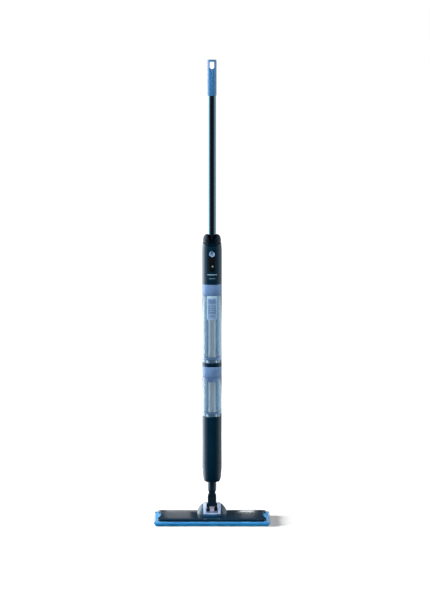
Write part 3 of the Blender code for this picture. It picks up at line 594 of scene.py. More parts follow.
def cover_outline(inset=0.0):
    """The cover's edge: four rounded horns and a shallow hollow in each end."""
    half_x, half_y = cover_high[0] - inset, cover_high[1] - inset
    corner = COVER_CORNER - inset
    reach = half_y - corner
    radius = (reach**2 + HOLLOW_DEEP**2) / (2 * HOLLOW_DEEP)
    swing = math.degrees(math.asin(reach / radius))
    right = arc((half_x - corner, -reach), corner, -90, 0, 12)
    right += arc((half_x - HOLLOW_DEEP + radius, 0), radius, 180 + swing, 180 - swing, 28)[1:-1]
    right += arc((half_x - corner, reach), corner, 0, 90, 12)
    return right + [(-x, -y) for x, y in right]


def crown_keep(lower):
    """A long bar with the crown's curve on top, to trim the cover with."""
    rise = cover_high[2] - (cover_low[2] + COVER_SKIRT)
    half = cover_high[1]
    top = cover_high[2] - lower
    section = [(half * (1 - i / 24), top - rise * (1 - i / 24) ** 2) for i in range(49)]
    wide = half + 0.01
    section += [(-wide, top - rise), (-wide, -0.05), (wide, -0.05), (wide, top - rise)]
    return prism([(-0.2, y, z) for y, z in section], (0.4, 0, 0))


cover = combined(slab(cover_outline(), cover_low[2], cover_high[2] + 0.002), crown_keep(0.0), "INTERSECT")
cover = eased(cover, 0.0011, 4, 30)
inside = slab(cover_outline(COVER_SKIN), cover_low[2] - 0.002, cover_high[2])
cover = combined(cover, combined(inside, crown_keep(COVER_SKIN), "INTERSECT"))
head_cover = place_piece("crowned_head_cover", cover, cover_gloss, "head", ["head_cover"], 28)
# Only the low head and its pad hold the floor's light back, so the shadow is a short one along the pad's edge.
head_shadow = bpy.data.collections.new("head_shadow")
for caster in (pad, head_cover):
    head_shadow.objects.link(caster)
floor_key.light_linking.blocker_collection = head_shadow


# ==== The joint's cradle and dome ====
# A pale silver-blue cradle stands in the middle of the head, its two cheeks either side of a fore-and-aft slot.
# A dark gloss half dome is clipped over the outside of each cheek.
pin_low, pin_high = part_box("pitch_pin")
pitch_z = (pin_low[2] + pin_high[2]) / 2
DOME_RADII = (0.0440, 0.0360, 0.0420)
SLOT_HALF, CHEEK, DOME_SKIN = 0.0167, 0.0078, 0.0024
GAP = 0.0003  # the clearance between mouldings that fit together

pale_gloss = Finish("silver_blue_moulding").set(IOR=1.5, Metallic=0.25)
flecks = pale_gloss.noise(1800, 2.0)
cloud = pale_gloss.noise(30, 3.0)
pale_gloss.colour(pale_gloss.add(cloud, flecks, 0.25), (0.28, 0.38, 0.58), (0.40, 0.51, 0.72), 0.45, 0.85)
pale_gloss.rough(cloud, 0.16, 0.30, 0.3, 0.7)
pale_gloss.bump(flecks, 0.04, 0.0001)

APRON_SKIN, APRON_BELOW_LIP = 0.0012, 0.0032
dome_base = cover_low[2] + COVER_SKIRT
lip_z = pitch_z - 0.0025


def ellipsoid(radii):
    """A whole egg about the dome's centre."""
    bm = bmesh.new()
    place = Matrix.Translation((0, 0, dome_base)) @ Matrix.Diagonal((*radii, 1))
    bmesh.ops.create_uvsphere(bm, u_segments=96, v_segments=48, radius=1, matrix=place)
    return bm


def block(low, high):
    """A plain box between two corners."""
    bm = bmesh.new()
    middle = [(a + b) / 2 for a, b in zip(low, high)]
    size = [b - a for a, b in zip(low, high)]
    bmesh.ops.create_cube(bm, size=1, matrix=Matrix.Translation(middle) @ Matrix.Diagonal((*size, 1)))
    return bm


def apron(spare):
    """The dark skin low on the cradle's front and back, under its lips. spare makes the cutter for its seat."""
    outer = ellipsoid([r + 0.0004 + spare for r in DOME_RADII])
    skin = combined(outer, ellipsoid([r + 0.0004 - APRON_SKIN - spare for r in DOME_RADII]))
    reach = SLOT_HALF + CHEEK - 0.0001 + spare
    band = block((-reach, -0.06, 0.01), (reach, 0.06, lip_z - APRON_BELOW_LIP + spare))
    skin = combined(skin, band, "INTERSECT")
    return skin if spare else combined(skin, crown_keep(-GAP))


cradle = combined(eased(copy_of("pivot_cradle"), 0.0007, 3, 38), apron(0.0001))
place_piece("joint_cradle", cradle, pale_gloss, "head", ["pivot_cradle"], 25)
apron_gloss = navy_gloss_finish("gloss_apron", (0.008, 0.050, 0.115), (0.013, 0.066, 0.145))
skin = eased(apron(0), 0.0002, 2, 45)
place_piece("cradle_dark_apron", skin, apron_gloss, "head", sharp=28)


def half_dome(side):
    """One dark half of the dome: a shell open towards the cradle's cheek, trimmed to the cover's crown."""
    shell = combined(ellipsoid(DOME_RADII), ellipsoid([r - DOME_SKIN for r in DOME_RADII]))
    shell = combined(shell, crown_keep(-GAP))
    near, far = sorted((side * (SLOT_HALF + CHEEK + GAP), side * 0.06))
    shell = combined(shell, block((near, -0.1, -0.07), (far, 0.1, 0.13)), "INTERSECT")
    return eased(shell, 0.0006, 3, 40)


for side, node in ((-1, "dome_left"), (1, "dome_right")):
    place_piece(f"{node}_shell", half_dome(side), cover_gloss, "head", [node], 28)

steel = Finish("turned_steel").set(Metallic=1.0)
lathe_lines = steel.noise(900, 2.0, (0.15, 1, 1))
steel.colour(lathe_lines, (0.42, 0.43, 0.45), (0.62, 0.63, 0.65))
steel.rough(lathe_lines, 0.22, 0.38)
steel.bump(lathe_lines, 0.12, 0.00005)
rubber = Finish("soft_rubber").set(Specular_IOR_Level=0.3)
rubber.colour(rubber.noise(120), (0.010, 0.011, 0.013), (0.020, 0.021, 0.024))
rubber.rough(rubber.noise(500), 0.55, 0.75)
rubber.bump(rubber.noise(1900), 0.25, 0.00012)


def shaft(low, high, axis, radius, ease):
    """A round pin with eased ends between two corners of its box, along X or Y."""
    bm = bmesh.new()
    middle = [(a + b) / 2 for a, b in zip(low, high)]
    place = Matrix.Translation(middle) @ Matrix.Rotation(math.pi / 2, 4, "Y" if axis == 0 else "X")
    size = {"segments": 48, "radius1": radius, "radius2": radius, "depth": high[axis] - low[axis]}
    bmesh.ops.create_cone(bm, cap_ends=True, matrix=place, **size)
    rims = [e for e in bm.edges if len(e.link_faces) == 2 and e.calc_face_angle() > 1.0]
    bmesh.ops.bevel(bm, geom=rims, offset=ease, segments=3, profile=0.5, affect="EDGES", material=-1)
    return bm


PIN_R = 0.0030
place_piece("pitch_shaft", shaft(pin_low, pin_high, 0, PIN_R, 0.0005), steel, "head", ["pitch_pin"])
refinish(rubber, "pitch_bush_left", "pitch_bush_right")


# ==== The swivel ====
# The moving middle of the joint. A cast metal block turns on the pitch shaft, and a dark satin fork screwed on top
# of it holds the second shaft, so the stick can also lean sideways.
cast_metal = Finish("cast_metal").set(Metallic=0.25)
sand = cast_metal.noise(1500, 4.0)
cast_metal.colour(cast_metal.noise(80), (0.50, 0.51, 0.60), (0.62, 0.62, 0.72))
cast_metal.rough(sand, 0.32, 0.48)
cast_metal.bump(sand, 0.12, 0.0001)
casting = eased(copy_of("pivot_block"), 0.0006, 3, 38)
place_piece("cast_pivot_block", casting, cast_metal, "swivel", ["pivot_block"], 25)
fork = eased(copy_of("knuckle"), 0.0009, 3, 38)
place_piece("swivel_fork", fork, satin_navy, "swivel", ["knuckle"], 25)
# Two dark ears hang from the fork's foot beside the cast block and close the slot there.
EAR_INNER, EAR_OUTER, EAR_HALF_Y, EAR_TALL = 0.0072, 0.0160, 0.0084, 0.0058
foot_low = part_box("knuckle")[0][2]
for side, name in ((-1, "fork_ear_left"), (1, "fork_ear_right")):
    near, far = sorted((side * EAR_INNER, side * EAR_OUTER))
    ear = block((near, -EAR_HALF_Y, foot_low - EAR_TALL), (far, EAR_HALF_Y, foot_low + 0.0006))
    place_piece(name, eased(ear, 0.0008, 3, 38), satin_navy, "swivel", sharp=25)
tilt_low, tilt_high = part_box("tilt_pin")
tilt_pin = shaft(tilt_low, tilt_high, 1, PIN_R, 0.0005)
place_piece("tilt_shaft", tilt_pin, satin_navy, "swivel", ["tilt_pin"])
tilt_z = (tilt_low[2] + tilt_high[2]) / 2


# ==== The neck and the lower housing ====
# A satin neck rises from the fork into a gloss navy cup. The cup and the long sleeve above it are turned-looking
# mouldings that meet at one fine seam, and hide the pumps, the battery and their boards.
neck_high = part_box("neck")[1]
cup_low, cup_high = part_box("housing_cup")
sleeve_low, sleeve_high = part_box("housing_sleeve")
body_r = sleeve_high[0]
HOUSING_WALL = 0.0022


def turned(profile, steps=128):
    """A round piece from its closed (radius, height) section."""
    bm = bmesh.new()
    verts = [bm.verts.new((r, 0, z)) for r, z in profile]
    edges = [bm.edges.new(pair) for pair in zip(verts, verts[1:] + verts[:1])]
    if profile[0][0] == 0 and profile[-1][0] == 0:
        bm.edges.remove(edges.pop())
    line = {"geom": verts + edges, "axis": (0, 0, 1), "cent": (0, 0, 0)}
    bmesh.ops.spin(bm, **line, angle=2 * math.pi, steps=steps, use_merge=True)
    bmesh.ops.remove_doubles(bm, verts=bm.verts, dist=0.000005)
    bmesh.ops.recalc_face_normals(bm, faces=bm.faces)
    return bm


def curved(points, steps=6):
    """A smooth line through the points of a profile, rounder than its corners."""
    line = []
    last = len(points) - 1
    for i in range(last):
        p0, p1, p2, p3 = (Vector(points[max(0, min(last, j))]) for j in (i - 1, i, i + 1, i + 2))
        for k in range(steps):
            t = k / steps
            bend, twist = 2 * p0 - 5 * p1 + 4 * p2 - p3, 3 * p1 - p0 - 3 * p2 + p3
            line.append(0.5 * (2 * p1 + (p2 - p0) * t + bend * t * t + twist * t**3))
    line.append(Vector(points[-1]))
    return [(p.x, p.y) for p in line]


def upright(outline, near, far):
    """A solid whose outline is given as (x, z), from y = near to y = far."""
    return prism([(x, near, z) for x, z in outline], (0, far - near, 0))


neck_r = neck_high[0]
shoulder_z = tilt_z + 0.0195
TONGUE_HALF, TONGUE_DEEP, NECK_BORE, TILT_BORE = 0.0093, 0.0063, 0.0085, 0.0033
neck_wall = [(TONGUE_HALF, shoulder_z - 0.004), (neck_r * 0.86, shoulder_z - 0.0022)]
neck_wall += [(neck_r, shoulder_z + 0.0010), (neck_r, shoulder_z + 0.004)]
neck_profile = [(0, shoulder_z - 0.004), *curved(neck_wall)]
neck_profile += [(neck_r, neck_high[2]), (NECK_BORE, neck_high[2])]
neck_profile += [(NECK_BORE, shoulder_z + 0.003), (0, shoulder_z + 0.003)]
tongue_outline = arc((0, tilt_z), TONGUE_HALF, 180, 360, 36)
tongue_outline += [(TONGUE_HALF, shoulder_z - 0.001), (-TONGUE_HALF, shoulder_z - 0.001)]
neck = combined(turned(neck_profile, 96), upright(tongue_outline, -TONGUE_DEEP, TONGUE_DEEP), "UNION")
bore = shaft((-TILT_BORE, -0.03, tilt_z - TILT_BORE), (TILT_BORE, 0.03, tilt_z + TILT_BORE), 1, TILT_BORE, 0.0002)
neck = eased(combined(neck, bore), 0.0005, 3, 40)
place_piece("stick_neck", neck, satin_navy, "stick", ["neck"], 25)

cup_z = cup_low[2]
CUP_SHAPE = ((0.0175, 0.0), (0.0208, 0.0006), (0.0226, 0.0026), (0.0241, 0.0070), (0.0258, 0.0155))
CUP_SHAPE += ((0.0272, 0.0310), (0.0279, 0.0460))
cup_outer = curved([(r, cup_z + h) for r, h in CUP_SHAPE])
cup_outer += [(body_r, cup_high[2] - 0.0009), (body_r - 0.0005, cup_high[2])]
cup_inner = [(r - HOUSING_WALL, max(z, cup_z + HOUSING_WALL)) for r, z in reversed(cup_outer)]
neck_hole = neck_r + GAP
cup_section = [(neck_hole, cup_z + 0.0004), (neck_hole + 0.0004, cup_z), *cup_outer, *cup_inner]
cup_section += [(neck_hole, cup_z + HOUSING_WALL)]
place_piece("lower_cup", turned(cup_section), gloss_navy, "stick", ["housing_cup"], 28)


def sleeve(low, high, radius, ease=0.0005, wall=HOUSING_WALL):
    """A plain tube with eased ends."""
    rise = [(radius - ease, low), (radius, low + ease), (radius, high - ease), (radius - ease, high)]
    return [*rise, (radius - wall, high), (radius - wall, low)]


long_sleeve = turned(sleeve(sleeve_low[2], sleeve_high[2], body_r))
place_piece("housing_long_sleeve", long_sleeve, gloss_navy, "stick", ["housing_sleeve"], 28)


# ==== Inside the lower housing ====
# Two small pumps, three battery cells between two trays, a circuit board and clear hoses. They are plain bought-in
# parts, seen only when the housing is open.
cell_wrap = Finish("cell_wrap").set(Specular_IOR_Level=0.5)
cell_wrap.colour(cell_wrap.noise(50), (0.03, 0.20, 0.26), (0.06, 0.30, 0.36))
cell_wrap.rough(cell_wrap.noise(200), 0.28, 0.42)
circuit = Finish("circuit_board").set(Roughness=0.4)
tracks = circuit.cells(160, feature="DISTANCE_TO_EDGE")
circuit.colour(tracks, (0.05, 0.20, 0.08), (0.008, 0.07, 0.03), 0.0, 0.06)
circuit.bump(tracks, 0.2, 0.0002)
clear_hose = Finish("clear_hose").set(Transmission_Weight=0.6, IOR=1.42)
clear_hose.colour(clear_hose.noise(90), (0.62, 0.66, 0.70), (0.74, 0.78, 0.80))
clear_hose.rough(clear_hose.noise(300), 0.18, 0.32)
refinish(inner_moulding, "neck_nut", "tank_seat", "pump_mount", "supply_pump_head", "return_pump_head")
refinish(inner_moulding, "battery_tray_lower", "battery_tray_upper", "button_switch", "pole_socket")
refinish(steel, "supply_pump_motor", "return_pump_motor")
refinish(cell_wrap, "battery_cell_1", "battery_cell_2", "battery_cell_3")
refinish(circuit, "power_board", "control_board")
refinish(clear_hose, "supply_hose_lower", "return_hose_lower", "supply_hose_upper", "return_hose_upper")
refinish(rubber, "wire_harness", "port_gasket")


# ==== The spine tube and the valve ring ====
# A plain aluminium tube runs up from the lower housing through both tanks, with the hoses and leads inside it. A
# dark gloss ring on it separates the tanks and holds the upper tank's port.
spine_low, spine_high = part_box("spine_tube")
ring_low, ring_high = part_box("valve_ring")
brushed_tube = Finish("brushed_tube").set(Metallic=0.65)
draw_lines = brushed_tube.noise(520, 3.0, (1, 1, 0.02))
brushed_tube.colour(draw_lines, (0.66, 0.70, 0.72), (0.82, 0.85, 0.87), 0.3, 0.7)
brushed_tube.rough(draw_lines, 0.24, 0.38, 0.3, 0.7)
brushed_tube.bump(draw_lines, 0.08, 0.00005)
spine_section = sleeve(spine_low[2], spine_high[2], spine_high[0], 0.0003, 0.0012)
place_piece("spine", turned(spine_section, 96), brushed_tube, "stick", ["spine_tube"], 28)

ring_hole = spine_high[0] + GAP
RING_GROOVE, RING_ROUND = 0.0008, 0.0016
PORT_AT, PORT_R = 0.0200, 0.0035
ring_mid = (ring_low[2] + ring_high[2]) / 2
ring_half = [(body_r - RING_GROOVE, RING_GROOVE * 0.3), (body_r, RING_GROOVE)]
ring_end = (ring_high[2] - ring_low[2]) / 2
ring_half += [(body_r, ring_end - RING_ROUND), (body_r - 0.0005, ring_end - 0.0005)]
ring_half += [(body_r - RING_ROUND, ring_end), (ring_hole, ring_end)]
ring_section = [(r, ring_mid - z) for r, z in reversed(ring_half)] + [(r, ring_mid + z) for r, z in ring_half]


def port_drill(middle, depth, radius=PORT_R):
    """An upright drill on the line of the tanks' ports."""
    bm = bmesh.new()
    place = Matrix.Translation((PORT_AT, 0, middle))
    size = {"segments": 40, "radius1": radius, "radius2": radius, "depth": depth}
    bmesh.ops.create_cone(bm, cap_ends=True, matrix=place, **size)
    return bm


ring = combined(turned(ring_section), port_drill(ring_high[2], 0.0120))
place_piece("tank_valve_ring", ring, gloss_navy, "stick", ["valve_ring"], 28)


# ==== The two tanks ====
# Each tank is a clear blue-tinted shell, round in front, with a channel up its back for the spine tube. A blue
# seal and a translucent blue lid close it. The upper one holds clean water, the lower one takes the used water.
TANK_WALL, TANK_FLOOR, CHANNEL = 0.0020, 0.0080, 0.0128
FLOOR_BOSS = {"dirty_tank": 0.0042, "clean_tank": 0.0075}


def tank_wall(name, floor_top):
    """Clear plastic in front, moulded in a smoke blue at the back and in the thick floor."""
    finish = Finish(name).set(Transmission_Weight=1.0, IOR=1.46)
    haze = finish.noise(45, 4.0)
    apart = finish.tree.nodes.new("ShaderNodeSeparateXYZ")
    finish.tree.links.new(finish.place, apart.inputs[0])

    def work(operation, *values):
        node = finish.tree.nodes.new("ShaderNodeMath")
        node.operation = operation
        for socket, value in zip(node.inputs, values):
            if isinstance(value, (int, float)):
                socket.default_value = value
            else:
                finish.tree.links.new(value, socket)
        return node.outputs[0]

    x, y, z = (apart.outputs[name] for name in "XYZ")
    across = work("POWER", work("ADD", work("MULTIPLY", x, x), work("MULTIPLY", y, y)), 0.5)
    back = finish.ramp(y, 0.0, 1.0, -0.003, 0.006)
    foot = finish.ramp(z, 0.6, 0.0, floor_top, floor_top + 0.0015)
    outer = finish.ramp(work("ABSOLUTE", x), 0.0, 1.0, 0.0108, 0.0118)
    cheek = work("MULTIPLY", outer, finish.ramp(across, 1.0, 0.0, 0.0165, 0.0180))
    smoke = work("MAXIMUM", work("MAXIMUM", back, foot), cheek)
    depth = finish.add(smoke, haze, 0.12)
    finish.colour(depth, (0.93, 0.965, 0.99), (0.20, 0.34, 0.47), 0.04, 1.1)
    finish.rough(haze, 0.02, 0.08, 0.3, 0.7)
    return finish.bump(finish.noise(160), 0.03, 0.0001)


blue_lid = Finish("translucent_blue_lid").set(Transmission_Weight=0.35, IOR=1.48, Specular_IOR_Level=0.25)
swirl = blue_lid.noise(40, 3.0)
blue_lid.colour(swirl, (0.12, 0.235, 0.46), (0.155, 0.275, 0.50), 0.3, 0.7)
blue_lid.rough(blue_lid.noise(90), 0.14, 0.26)
blue_lid.bump(blue_lid.noise(800), 0.04, 0.0001)

# Painted light: this seal blue is about twice as light as the real seal. It makes up for the light that the clear
# tank walls keep from the pieces inside. The floor bosses inside the tanks use it too.
lightened_seal_blue = Finish("soft_blue_seal_painted_light").set(Specular_IOR_Level=0.35)
lightened_seal_blue.colour(lightened_seal_blue.noise(50), (0.24, 0.42, 0.74), (0.30, 0.48, 0.80), 0.3, 0.7)
lightened_seal_blue.rough(lightened_seal_blue.noise(400), 0.45, 0.62)
lightened_seal_blue.bump(lightened_seal_blue.noise(1500), 0.15, 0.0001)


def tank_plan(radius, half):
    """A circle with a round-ended channel let into its back."""
    gap = math.degrees(math.asin(half / radius))
    return arc((0, 0), radius, 90 + gap, 450 - gap, 88) + arc((0, 0), half, 0, -180, 32)


def tank_shell(low, high, floor, open_up=True):
    """A tank's body: walls all round its plan and a floor, open at one end."""
    inner_plan = tank_plan(body_r - TANK_WALL, CHANNEL + TANK_WALL)
    if open_up:
        hollow = slab(inner_plan, low + floor, high + 0.01)
    else:
        hollow = slab(inner_plan, low - 0.01, high - floor)
    body = eased(slab(tank_plan(body_r, CHANNEL), low, high), 0.0006, 2, 50)
    return combined(body, hollow)


for tank in ("dirty_tank", "clean_tank"):
    shell_low, shell_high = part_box(f"{tank}_shell")
    lid_low, lid_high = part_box(f"{tank}_lid")
    port_z = shell_low[2] + 0.004
    shell = combined(tank_shell(shell_low[2], shell_high[2], TANK_FLOOR), port_drill(port_z, 0.03))
    wall = tank_wall(f"{tank}_wall", shell_low[2] + TANK_FLOOR)
    place_piece(f"{tank}_clear_shell", shell, wall, tank, [f"{tank}_shell"], 28)
    lid = tank_shell(lid_low[2], lid_high[2], TANK_WALL, open_up=False)
    place_piece(f"{tank}_blue_lid", lid, blue_lid, tank, [f"{tank}_lid"], 28)
    # The floor boss and the seal take the lightened seal blue: painted light for the light that the tank walls
    # hold back.
    boss_low = shell_low[2] + TANK_FLOOR + 0.0001
    boss_plan = tank_plan(body_r - TANK_WALL - GAP, CHANNEL + TANK_WALL + GAP)
    boss = slab(boss_plan, boss_low, boss_low + FLOOR_BOSS[tank])
    boss = combined(boss, port_drill(port_z, 0.03, 0.0065))
    place_piece(f"{tank}_floor_boss", eased(boss, 0.0004, 2, 50), lightened_seal_blue, tank, sharp=28)
    refinish(lightened_seal_blue, f"{tank}_seal")
    refinish(rubber, f"{tank}_valve")


# ==== The upper tank's label ====
# A film label is wrapped on the upper tank's front, under its lid: a pale frame round a mid-blue field, with plain
# darker level blocks printed on it.
LABEL_SIZE, LABEL_CORNER, LABEL_LIFT, LABEL_THICK = (0.0290, 0.0690), 0.0040, 0.00004, 0.00012
tank_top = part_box("clean_tank_shell")[1][2]


def film(name, middle, size, corner, lift, thick, finish, body, slot):
    """A thin sheet wrapped on the round front at radius body_r + lift, rounded at its corners."""
    shape = [(middle[0] + x, middle[1] + z) for x, z in rounded_outline(size, corner, 6)]
    ends = [middle[1] - size[1], middle[1] + size[1]]
    low_r, high_r = body_r + lift, body_r + lift + thick
    skin = turned([(low_r, ends[0]), (high_r, ends[0]), (high_r, ends[1]), (low_r, ends[1])], 160)
    sheet = combined(skin, upright(shape, -0.05, -0.005), "INTERSECT")
    return place_piece(name, sheet, finish, body, sharp=40)


def print_ink(name, dark, light, scale=260):
    """Printed colour: faint mottling, a satin face, and the film's fine tooth."""
    ink = Finish(name)
    tooth = ink.noise(1700, 2.0)
    ink.colour(ink.noise(scale), dark, light, 0.35, 0.65)
    ink.rough(tooth, 0.30, 0.44)
    return ink.bump(tooth, 0.05, 0.00005)


frame_ink = print_ink("label_frame_ink", (0.25, 0.42, 0.54), (0.31, 0.49, 0.61))
field_ink = print_ink("label_field_ink", (0.15, 0.25, 0.40), (0.18, 0.29, 0.45))
block_ink = print_ink("label_block_ink", (0.085, 0.16, 0.285), (0.105, 0.19, 0.32))
label_z = tank_top - 0.0006 - LABEL_SIZE[1] / 2
frame_cut = (LABEL_SIZE, LABEL_CORNER, LABEL_LIFT, LABEL_THICK)
film("tank_label_frame", (0, label_z), *frame_cut, frame_ink, "clean_tank", "tank_clear")
field_size = (LABEL_SIZE[0] - 0.0030, LABEL_SIZE[1] - 0.0080)
printed = [("field", label_z - 0.0028, field_size, 0.0030, 0.00018, 0.0001, field_ink)]
LEVEL_BLOCKS = ((0.0110, 0.0120, 0.0205), (0.0282, 0.0240, 0.0210), (0.0562, 0.0060, 0.0150))
for number, (top, tall, wide) in enumerate(LEVEL_BLOCKS, 1):
    middle_z = tank_top - top - tall / 2
    printed.append((f"block_{number}", middle_z, (wide, tall), 0.0012, 0.0003, 0.0001, block_ink))
for number in range(3):
    line_z = tank_top - 0.0325 - 0.0060 * number
    printed.append((f"line_{number + 1}", line_z, (0.0150, 0.0009), 0.0004, 0.00042, 0.00006, frame_ink))
for part, middle_z, size, corner, lift, thick, ink in printed:
    film(f"tank_label_{part}", (0.0004, middle_z), size, corner, lift, thick, ink, "clean_tank", "tank_clear")


# ==== The control housing ====
# A gloss navy tube with a scalloped top edge. A black window with round ends sits in its front, with the power
# button at the top of it, a small light below, and two printed bars under the window. A recess on its left side
# holds the charging contact.
control_low, control_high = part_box("control_housing")
lens_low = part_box("display_lens")[0]
button_low, button_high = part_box("power_button")
WINDOW_HALF = 0.0098
button_z = (button_low[2] + button_high[2]) / 2
window_low = lens_low[2] + WINDOW_HALF
SCALLOP = 0.0110
scallop_r = 0.0262
control_front_top = control_high[2] - SCALLOP


def pill(half, low, high):
    """An upright slot with round ends, their centres at two heights."""
    return arc((0, high), half, 0, 180, 20) + arc((0, low), half, 180, 360, 20)


taper = [(body_r, control_front_top - 0.026), (0.02785, control_front_top - 0.013)]
taper += [(0.0272, control_front_top), (scallop_r, control_high[2])]
housing_outer = [(body_r - 0.0005, control_low[2]), (body_r, control_low[2] + 0.0005)]
housing_outer += [(body_r, control_front_top - 0.030), *curved(taper)]
housing_section = [*housing_outer, *((r - HOUSING_WALL, z) for r, z in reversed(housing_outer))]
across = [1 - i / 20 for i in range(41)]
scallop_line = [(body_r * a, control_front_top + SCALLOP * (a * body_r / scallop_r) ** 2) for a in across]
scallop_line += [(-body_r, control_high[2] + 0.02), (body_r, control_high[2] + 0.02)]
housing = combined(turned(housing_section), upright(scallop_line, -0.05, 0.05))
housing = combined(housing, upright(pill(WINDOW_HALF, window_low, button_z), -0.05, -0.010))
recess_low, recess_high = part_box("charge_socket")
recess = block(
    (-body_r - 0.01, recess_low[1] - GAP, recess_low[2] - GAP),
    (-body_r + 0.01, recess_high[1] + GAP, recess_high[2] + GAP),
)
housing = eased(combined(housing, recess), 0.0004, 2, 40)
place_piece("control_tube", housing, gloss_navy, "stick", ["control_housing"], 28)

black_window = Finish("black_window").set(IOR=1.5)
smear = black_window.noise(60, 3.0)
black_window.colour(smear, (0.0025, 0.0028, 0.0032), (0.0045, 0.005, 0.0055))
black_window.rough(smear, 0.04, 0.10)
black_window.bump(black_window.noise(1200), 0.015, 0.0001)
BUTTON_R = 0.0082
face_r, hole_r = body_r - 0.0004, BUTTON_R + GAP
round_face = [(0, control_low[2]), (face_r, control_low[2]), (face_r, control_high[2]), (0, control_high[2])]
window = upright(pill(WINDOW_HALF - GAP, window_low, button_z), -body_r - 0.01, -0.0240)
window = combined(window, turned(round_face), "INTERSECT")
button_hole = shaft((-hole_r, -0.05, button_z - hole_r), (hole_r, 0.0, button_z + hole_r), 1, hole_r, 0.0001)
window = eased(combined(window, button_hole), 0.0003, 2, 40)
place_piece("display_window", window, black_window, "stick", ["display_lens"], 28)
refinish(black_window, "charge_socket")

pale_ink = print_ink("pale_bar_ink", (0.20, 0.30, 0.37), (0.25, 0.36, 0.43))
dim_ink = print_ink("dim_bar_ink", (0.10, 0.16, 0.20), (0.13, 0.20, 0.24))
for name, middle, size, corner, ink in (
    ("upper_printed_bar", (0.0005, control_low[2] + 0.0285), (0.0270, 0.0024), 0.0010, pale_ink),
    ("lower_printed_bar", (0.0005, control_low[2] + 0.0175), (0.0180, 0.0018), 0.0008, dim_ink),
):
    film(name, middle, size, corner, 0.00003, 0.0001, ink, "stick", "inner_grey")
lamp = Finish("window_lamp").set(Emission_Strength=0.04)
lamp.set(Emission_Color=(0.45, 0.62, 0.75, 1))
lamp.colour(lamp.noise(500), (0.10, 0.14, 0.17), (0.15, 0.20, 0.23))
lamp.rough(lamp.noise(900), 0.2, 0.3)
lamp_at, lamp_size = (0.0018, window_low + 0.0060), (0.0058, 0.0058)
film("window_status_lamp", lamp_at, lamp_size, 0.0028, -0.00035, 0.00012, lamp, "stick", "lens_black")

blue_gloss = Finish("blue_gloss_button").set(IOR=1.5, Metallic=0.55)
blue_gloss.colour(blue_gloss.noise(150), (0.20, 0.33, 0.54), (0.26, 0.41, 0.63))
blue_gloss.rough(blue_gloss.noise(400), 0.30, 0.40)
blue_gloss.bump(blue_gloss.noise(900), 0.03, 0.0001)
button_curve = [(0, -0.0019), (0.0030, -0.0015), (0.0055, -0.0003), (0.0070, 0.0008), (0.0078, 0.0006)]
button_section = curved([*button_curve, (BUTTON_R, -0.0004)])
button_section += [(BUTTON_R, -0.0028), (0.0025, -0.0028), (0.0025, -0.0046), (0, -0.0046)]
button = turned(button_section, 72)
button_place = Matrix.Translation((0, -body_r, button_z)) @ Matrix.Rotation(math.pi / 2, 4, "X")
bmesh.ops.transform(button, matrix=button_place, verts=button.verts)
place_piece("round_power_button", button, blue_gloss, "button", ["power_button"], 30)


# ==== The top collar ====
# A dark moulding that closes the control housing round the foot of the pole. Its top is rounded off, and a V is
# cut from its front, so the pole is seen down to its seat.
collar_low, collar_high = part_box("top_collar")
pole_low, pole_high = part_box("pole")
pole_r = pole_high[0]
sleeve_r = scallop_r - HOUSING_WALL - GAP
shoulder = control_high[2] + GAP
step = (collar_high[2] - shoulder) / 4
COLLAR_DOME = ((0.0250, 0.0002 / step), (0.0256, 0.8), (0.0249, 2.0), (0.0226, 3.2), (0.0178, 4.0))
collar_dome = curved([(r, shoulder + step * up) for r, up in COLLAR_DOME])
collar_bore = pole_r + 0.0010
collar_section = [(sleeve_r, collar_low[2]), (sleeve_r, shoulder), *collar_dome]
collar_section += [(collar_bore, collar_high[2]), (collar_bore, collar_low[2])]
v_low, v_high = collar_low[2] + 0.0085, collar_high[2] + 0.004
v_shape = [(0.0150, v_high), (-0.0150, v_high), (-0.0030, v_low + 0.0015), (0, v_low), (0.0030, v_low + 0.0015)]
collar = eased(combined(turned(collar_section), upright(v_shape, -0.05, 0.0)), 0.0005, 3, 38)
collar_satin = Finish("collar_satin").set(Specular_IOR_Level=0.12)
dusty = collar_satin.noise(40, 4.0)
collar_satin.colour(dusty, (0.0004, 0.0040, 0.0095), (0.0008, 0.0060, 0.0130), 0.3, 0.7)
collar_satin.rough(dusty, 0.26, 0.38, 0.3, 0.7)
collar_satin.bump(collar_satin.noise(2200), 0.12, 0.0001)
place_piece("pole_collar", collar, collar_satin, "stick", ["top_collar"], 28)


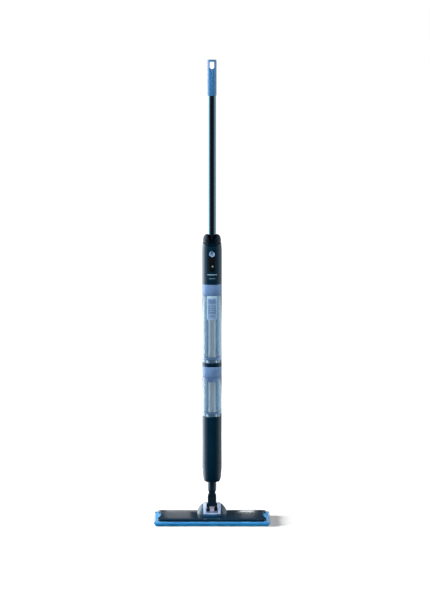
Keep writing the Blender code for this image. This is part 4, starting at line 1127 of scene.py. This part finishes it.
# ==== The pole and the hanging cap ====
# A painted aluminium tube, deep navy and very glossy. Its mid-blue moulded cap is the upper hand grip, with a slot
# through it to hang the mop by.
pole_paint = Finish("pole_paint").set(Metallic=1.0, Coat_Weight=0.3, Coat_Roughness=0.1)
runs = pole_paint.noise(120, 3.0, (1, 1, 0.06))
pole_paint.colour(runs, (0.095, 0.140, 0.175), (0.115, 0.165, 0.205), 0.3, 0.7)
pole_paint.rough(runs, 0.18, 0.26, 0.3, 0.7)
pole_paint.bump(pole_paint.noise(900), 0.012, 0.0001)
pole_tube = turned(sleeve(pole_low[2], pole_high[2], pole_r, 0.0003, 0.0012), 96)
place_piece("painted_pole", pole_tube, pole_paint, "stick", ["pole"], 28)

cap_low, cap_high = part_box("hanging_cap")
cap_r = cap_high[0]
cap_blue = Finish("blue_cap_moulding").set(IOR=1.5)
handled = cap_blue.noise(70, 4.0)
cap_blue.colour(handled, (0.017, 0.100, 0.235), (0.021, 0.112, 0.26), 0.3, 0.7)
cap_blue.rough(handled, 0.24, 0.36, 0.3, 0.7)
cap_blue.bump(cap_blue.noise(1600), 0.02, 0.0001)
CAP_SLOT_HALF, CAP_ROOF, CAP_SLOT_TALL, SLOT_CORNER = 0.0064, 0.0052, 0.0215, 0.002
slot_top = cap_high[2] - CAP_ROOF
slot_low = slot_top - CAP_SLOT_TALL
cap_bore, bore_top = pole_r + GAP, pole_high[2] + GAP
cap_top = cap_high[2]
crown_line = curved([(cap_r, cap_top - 0.0030), (cap_r - 0.0008, cap_top - 0.0010), (cap_r - 0.0030, cap_top)])
cap_section = [(0, bore_top), (cap_bore, bore_top), (cap_bore, cap_low[2]), (cap_r - 0.0004, cap_low[2])]
cap_section += [(cap_r, cap_low[2] + 0.0005), *crown_line, (0, cap_top)]
mouth = arc((0, slot_low + CAP_SLOT_HALF), CAP_SLOT_HALF, 180, 360, 24)
for side, first in ((1, 0), (-1, 90)):
    corner = (side * (CAP_SLOT_HALF - SLOT_CORNER), slot_top - SLOT_CORNER)
    mouth += arc(corner, SLOT_CORNER, first, first + 90, 6)
cap = eased(combined(turned(cap_section, 96), upright(mouth, -0.05, 0.05)), 0.0007, 3, 40)
place_piece("hanging_grip_cap", cap, cap_blue, "stick", ["hanging_cap"], 28)
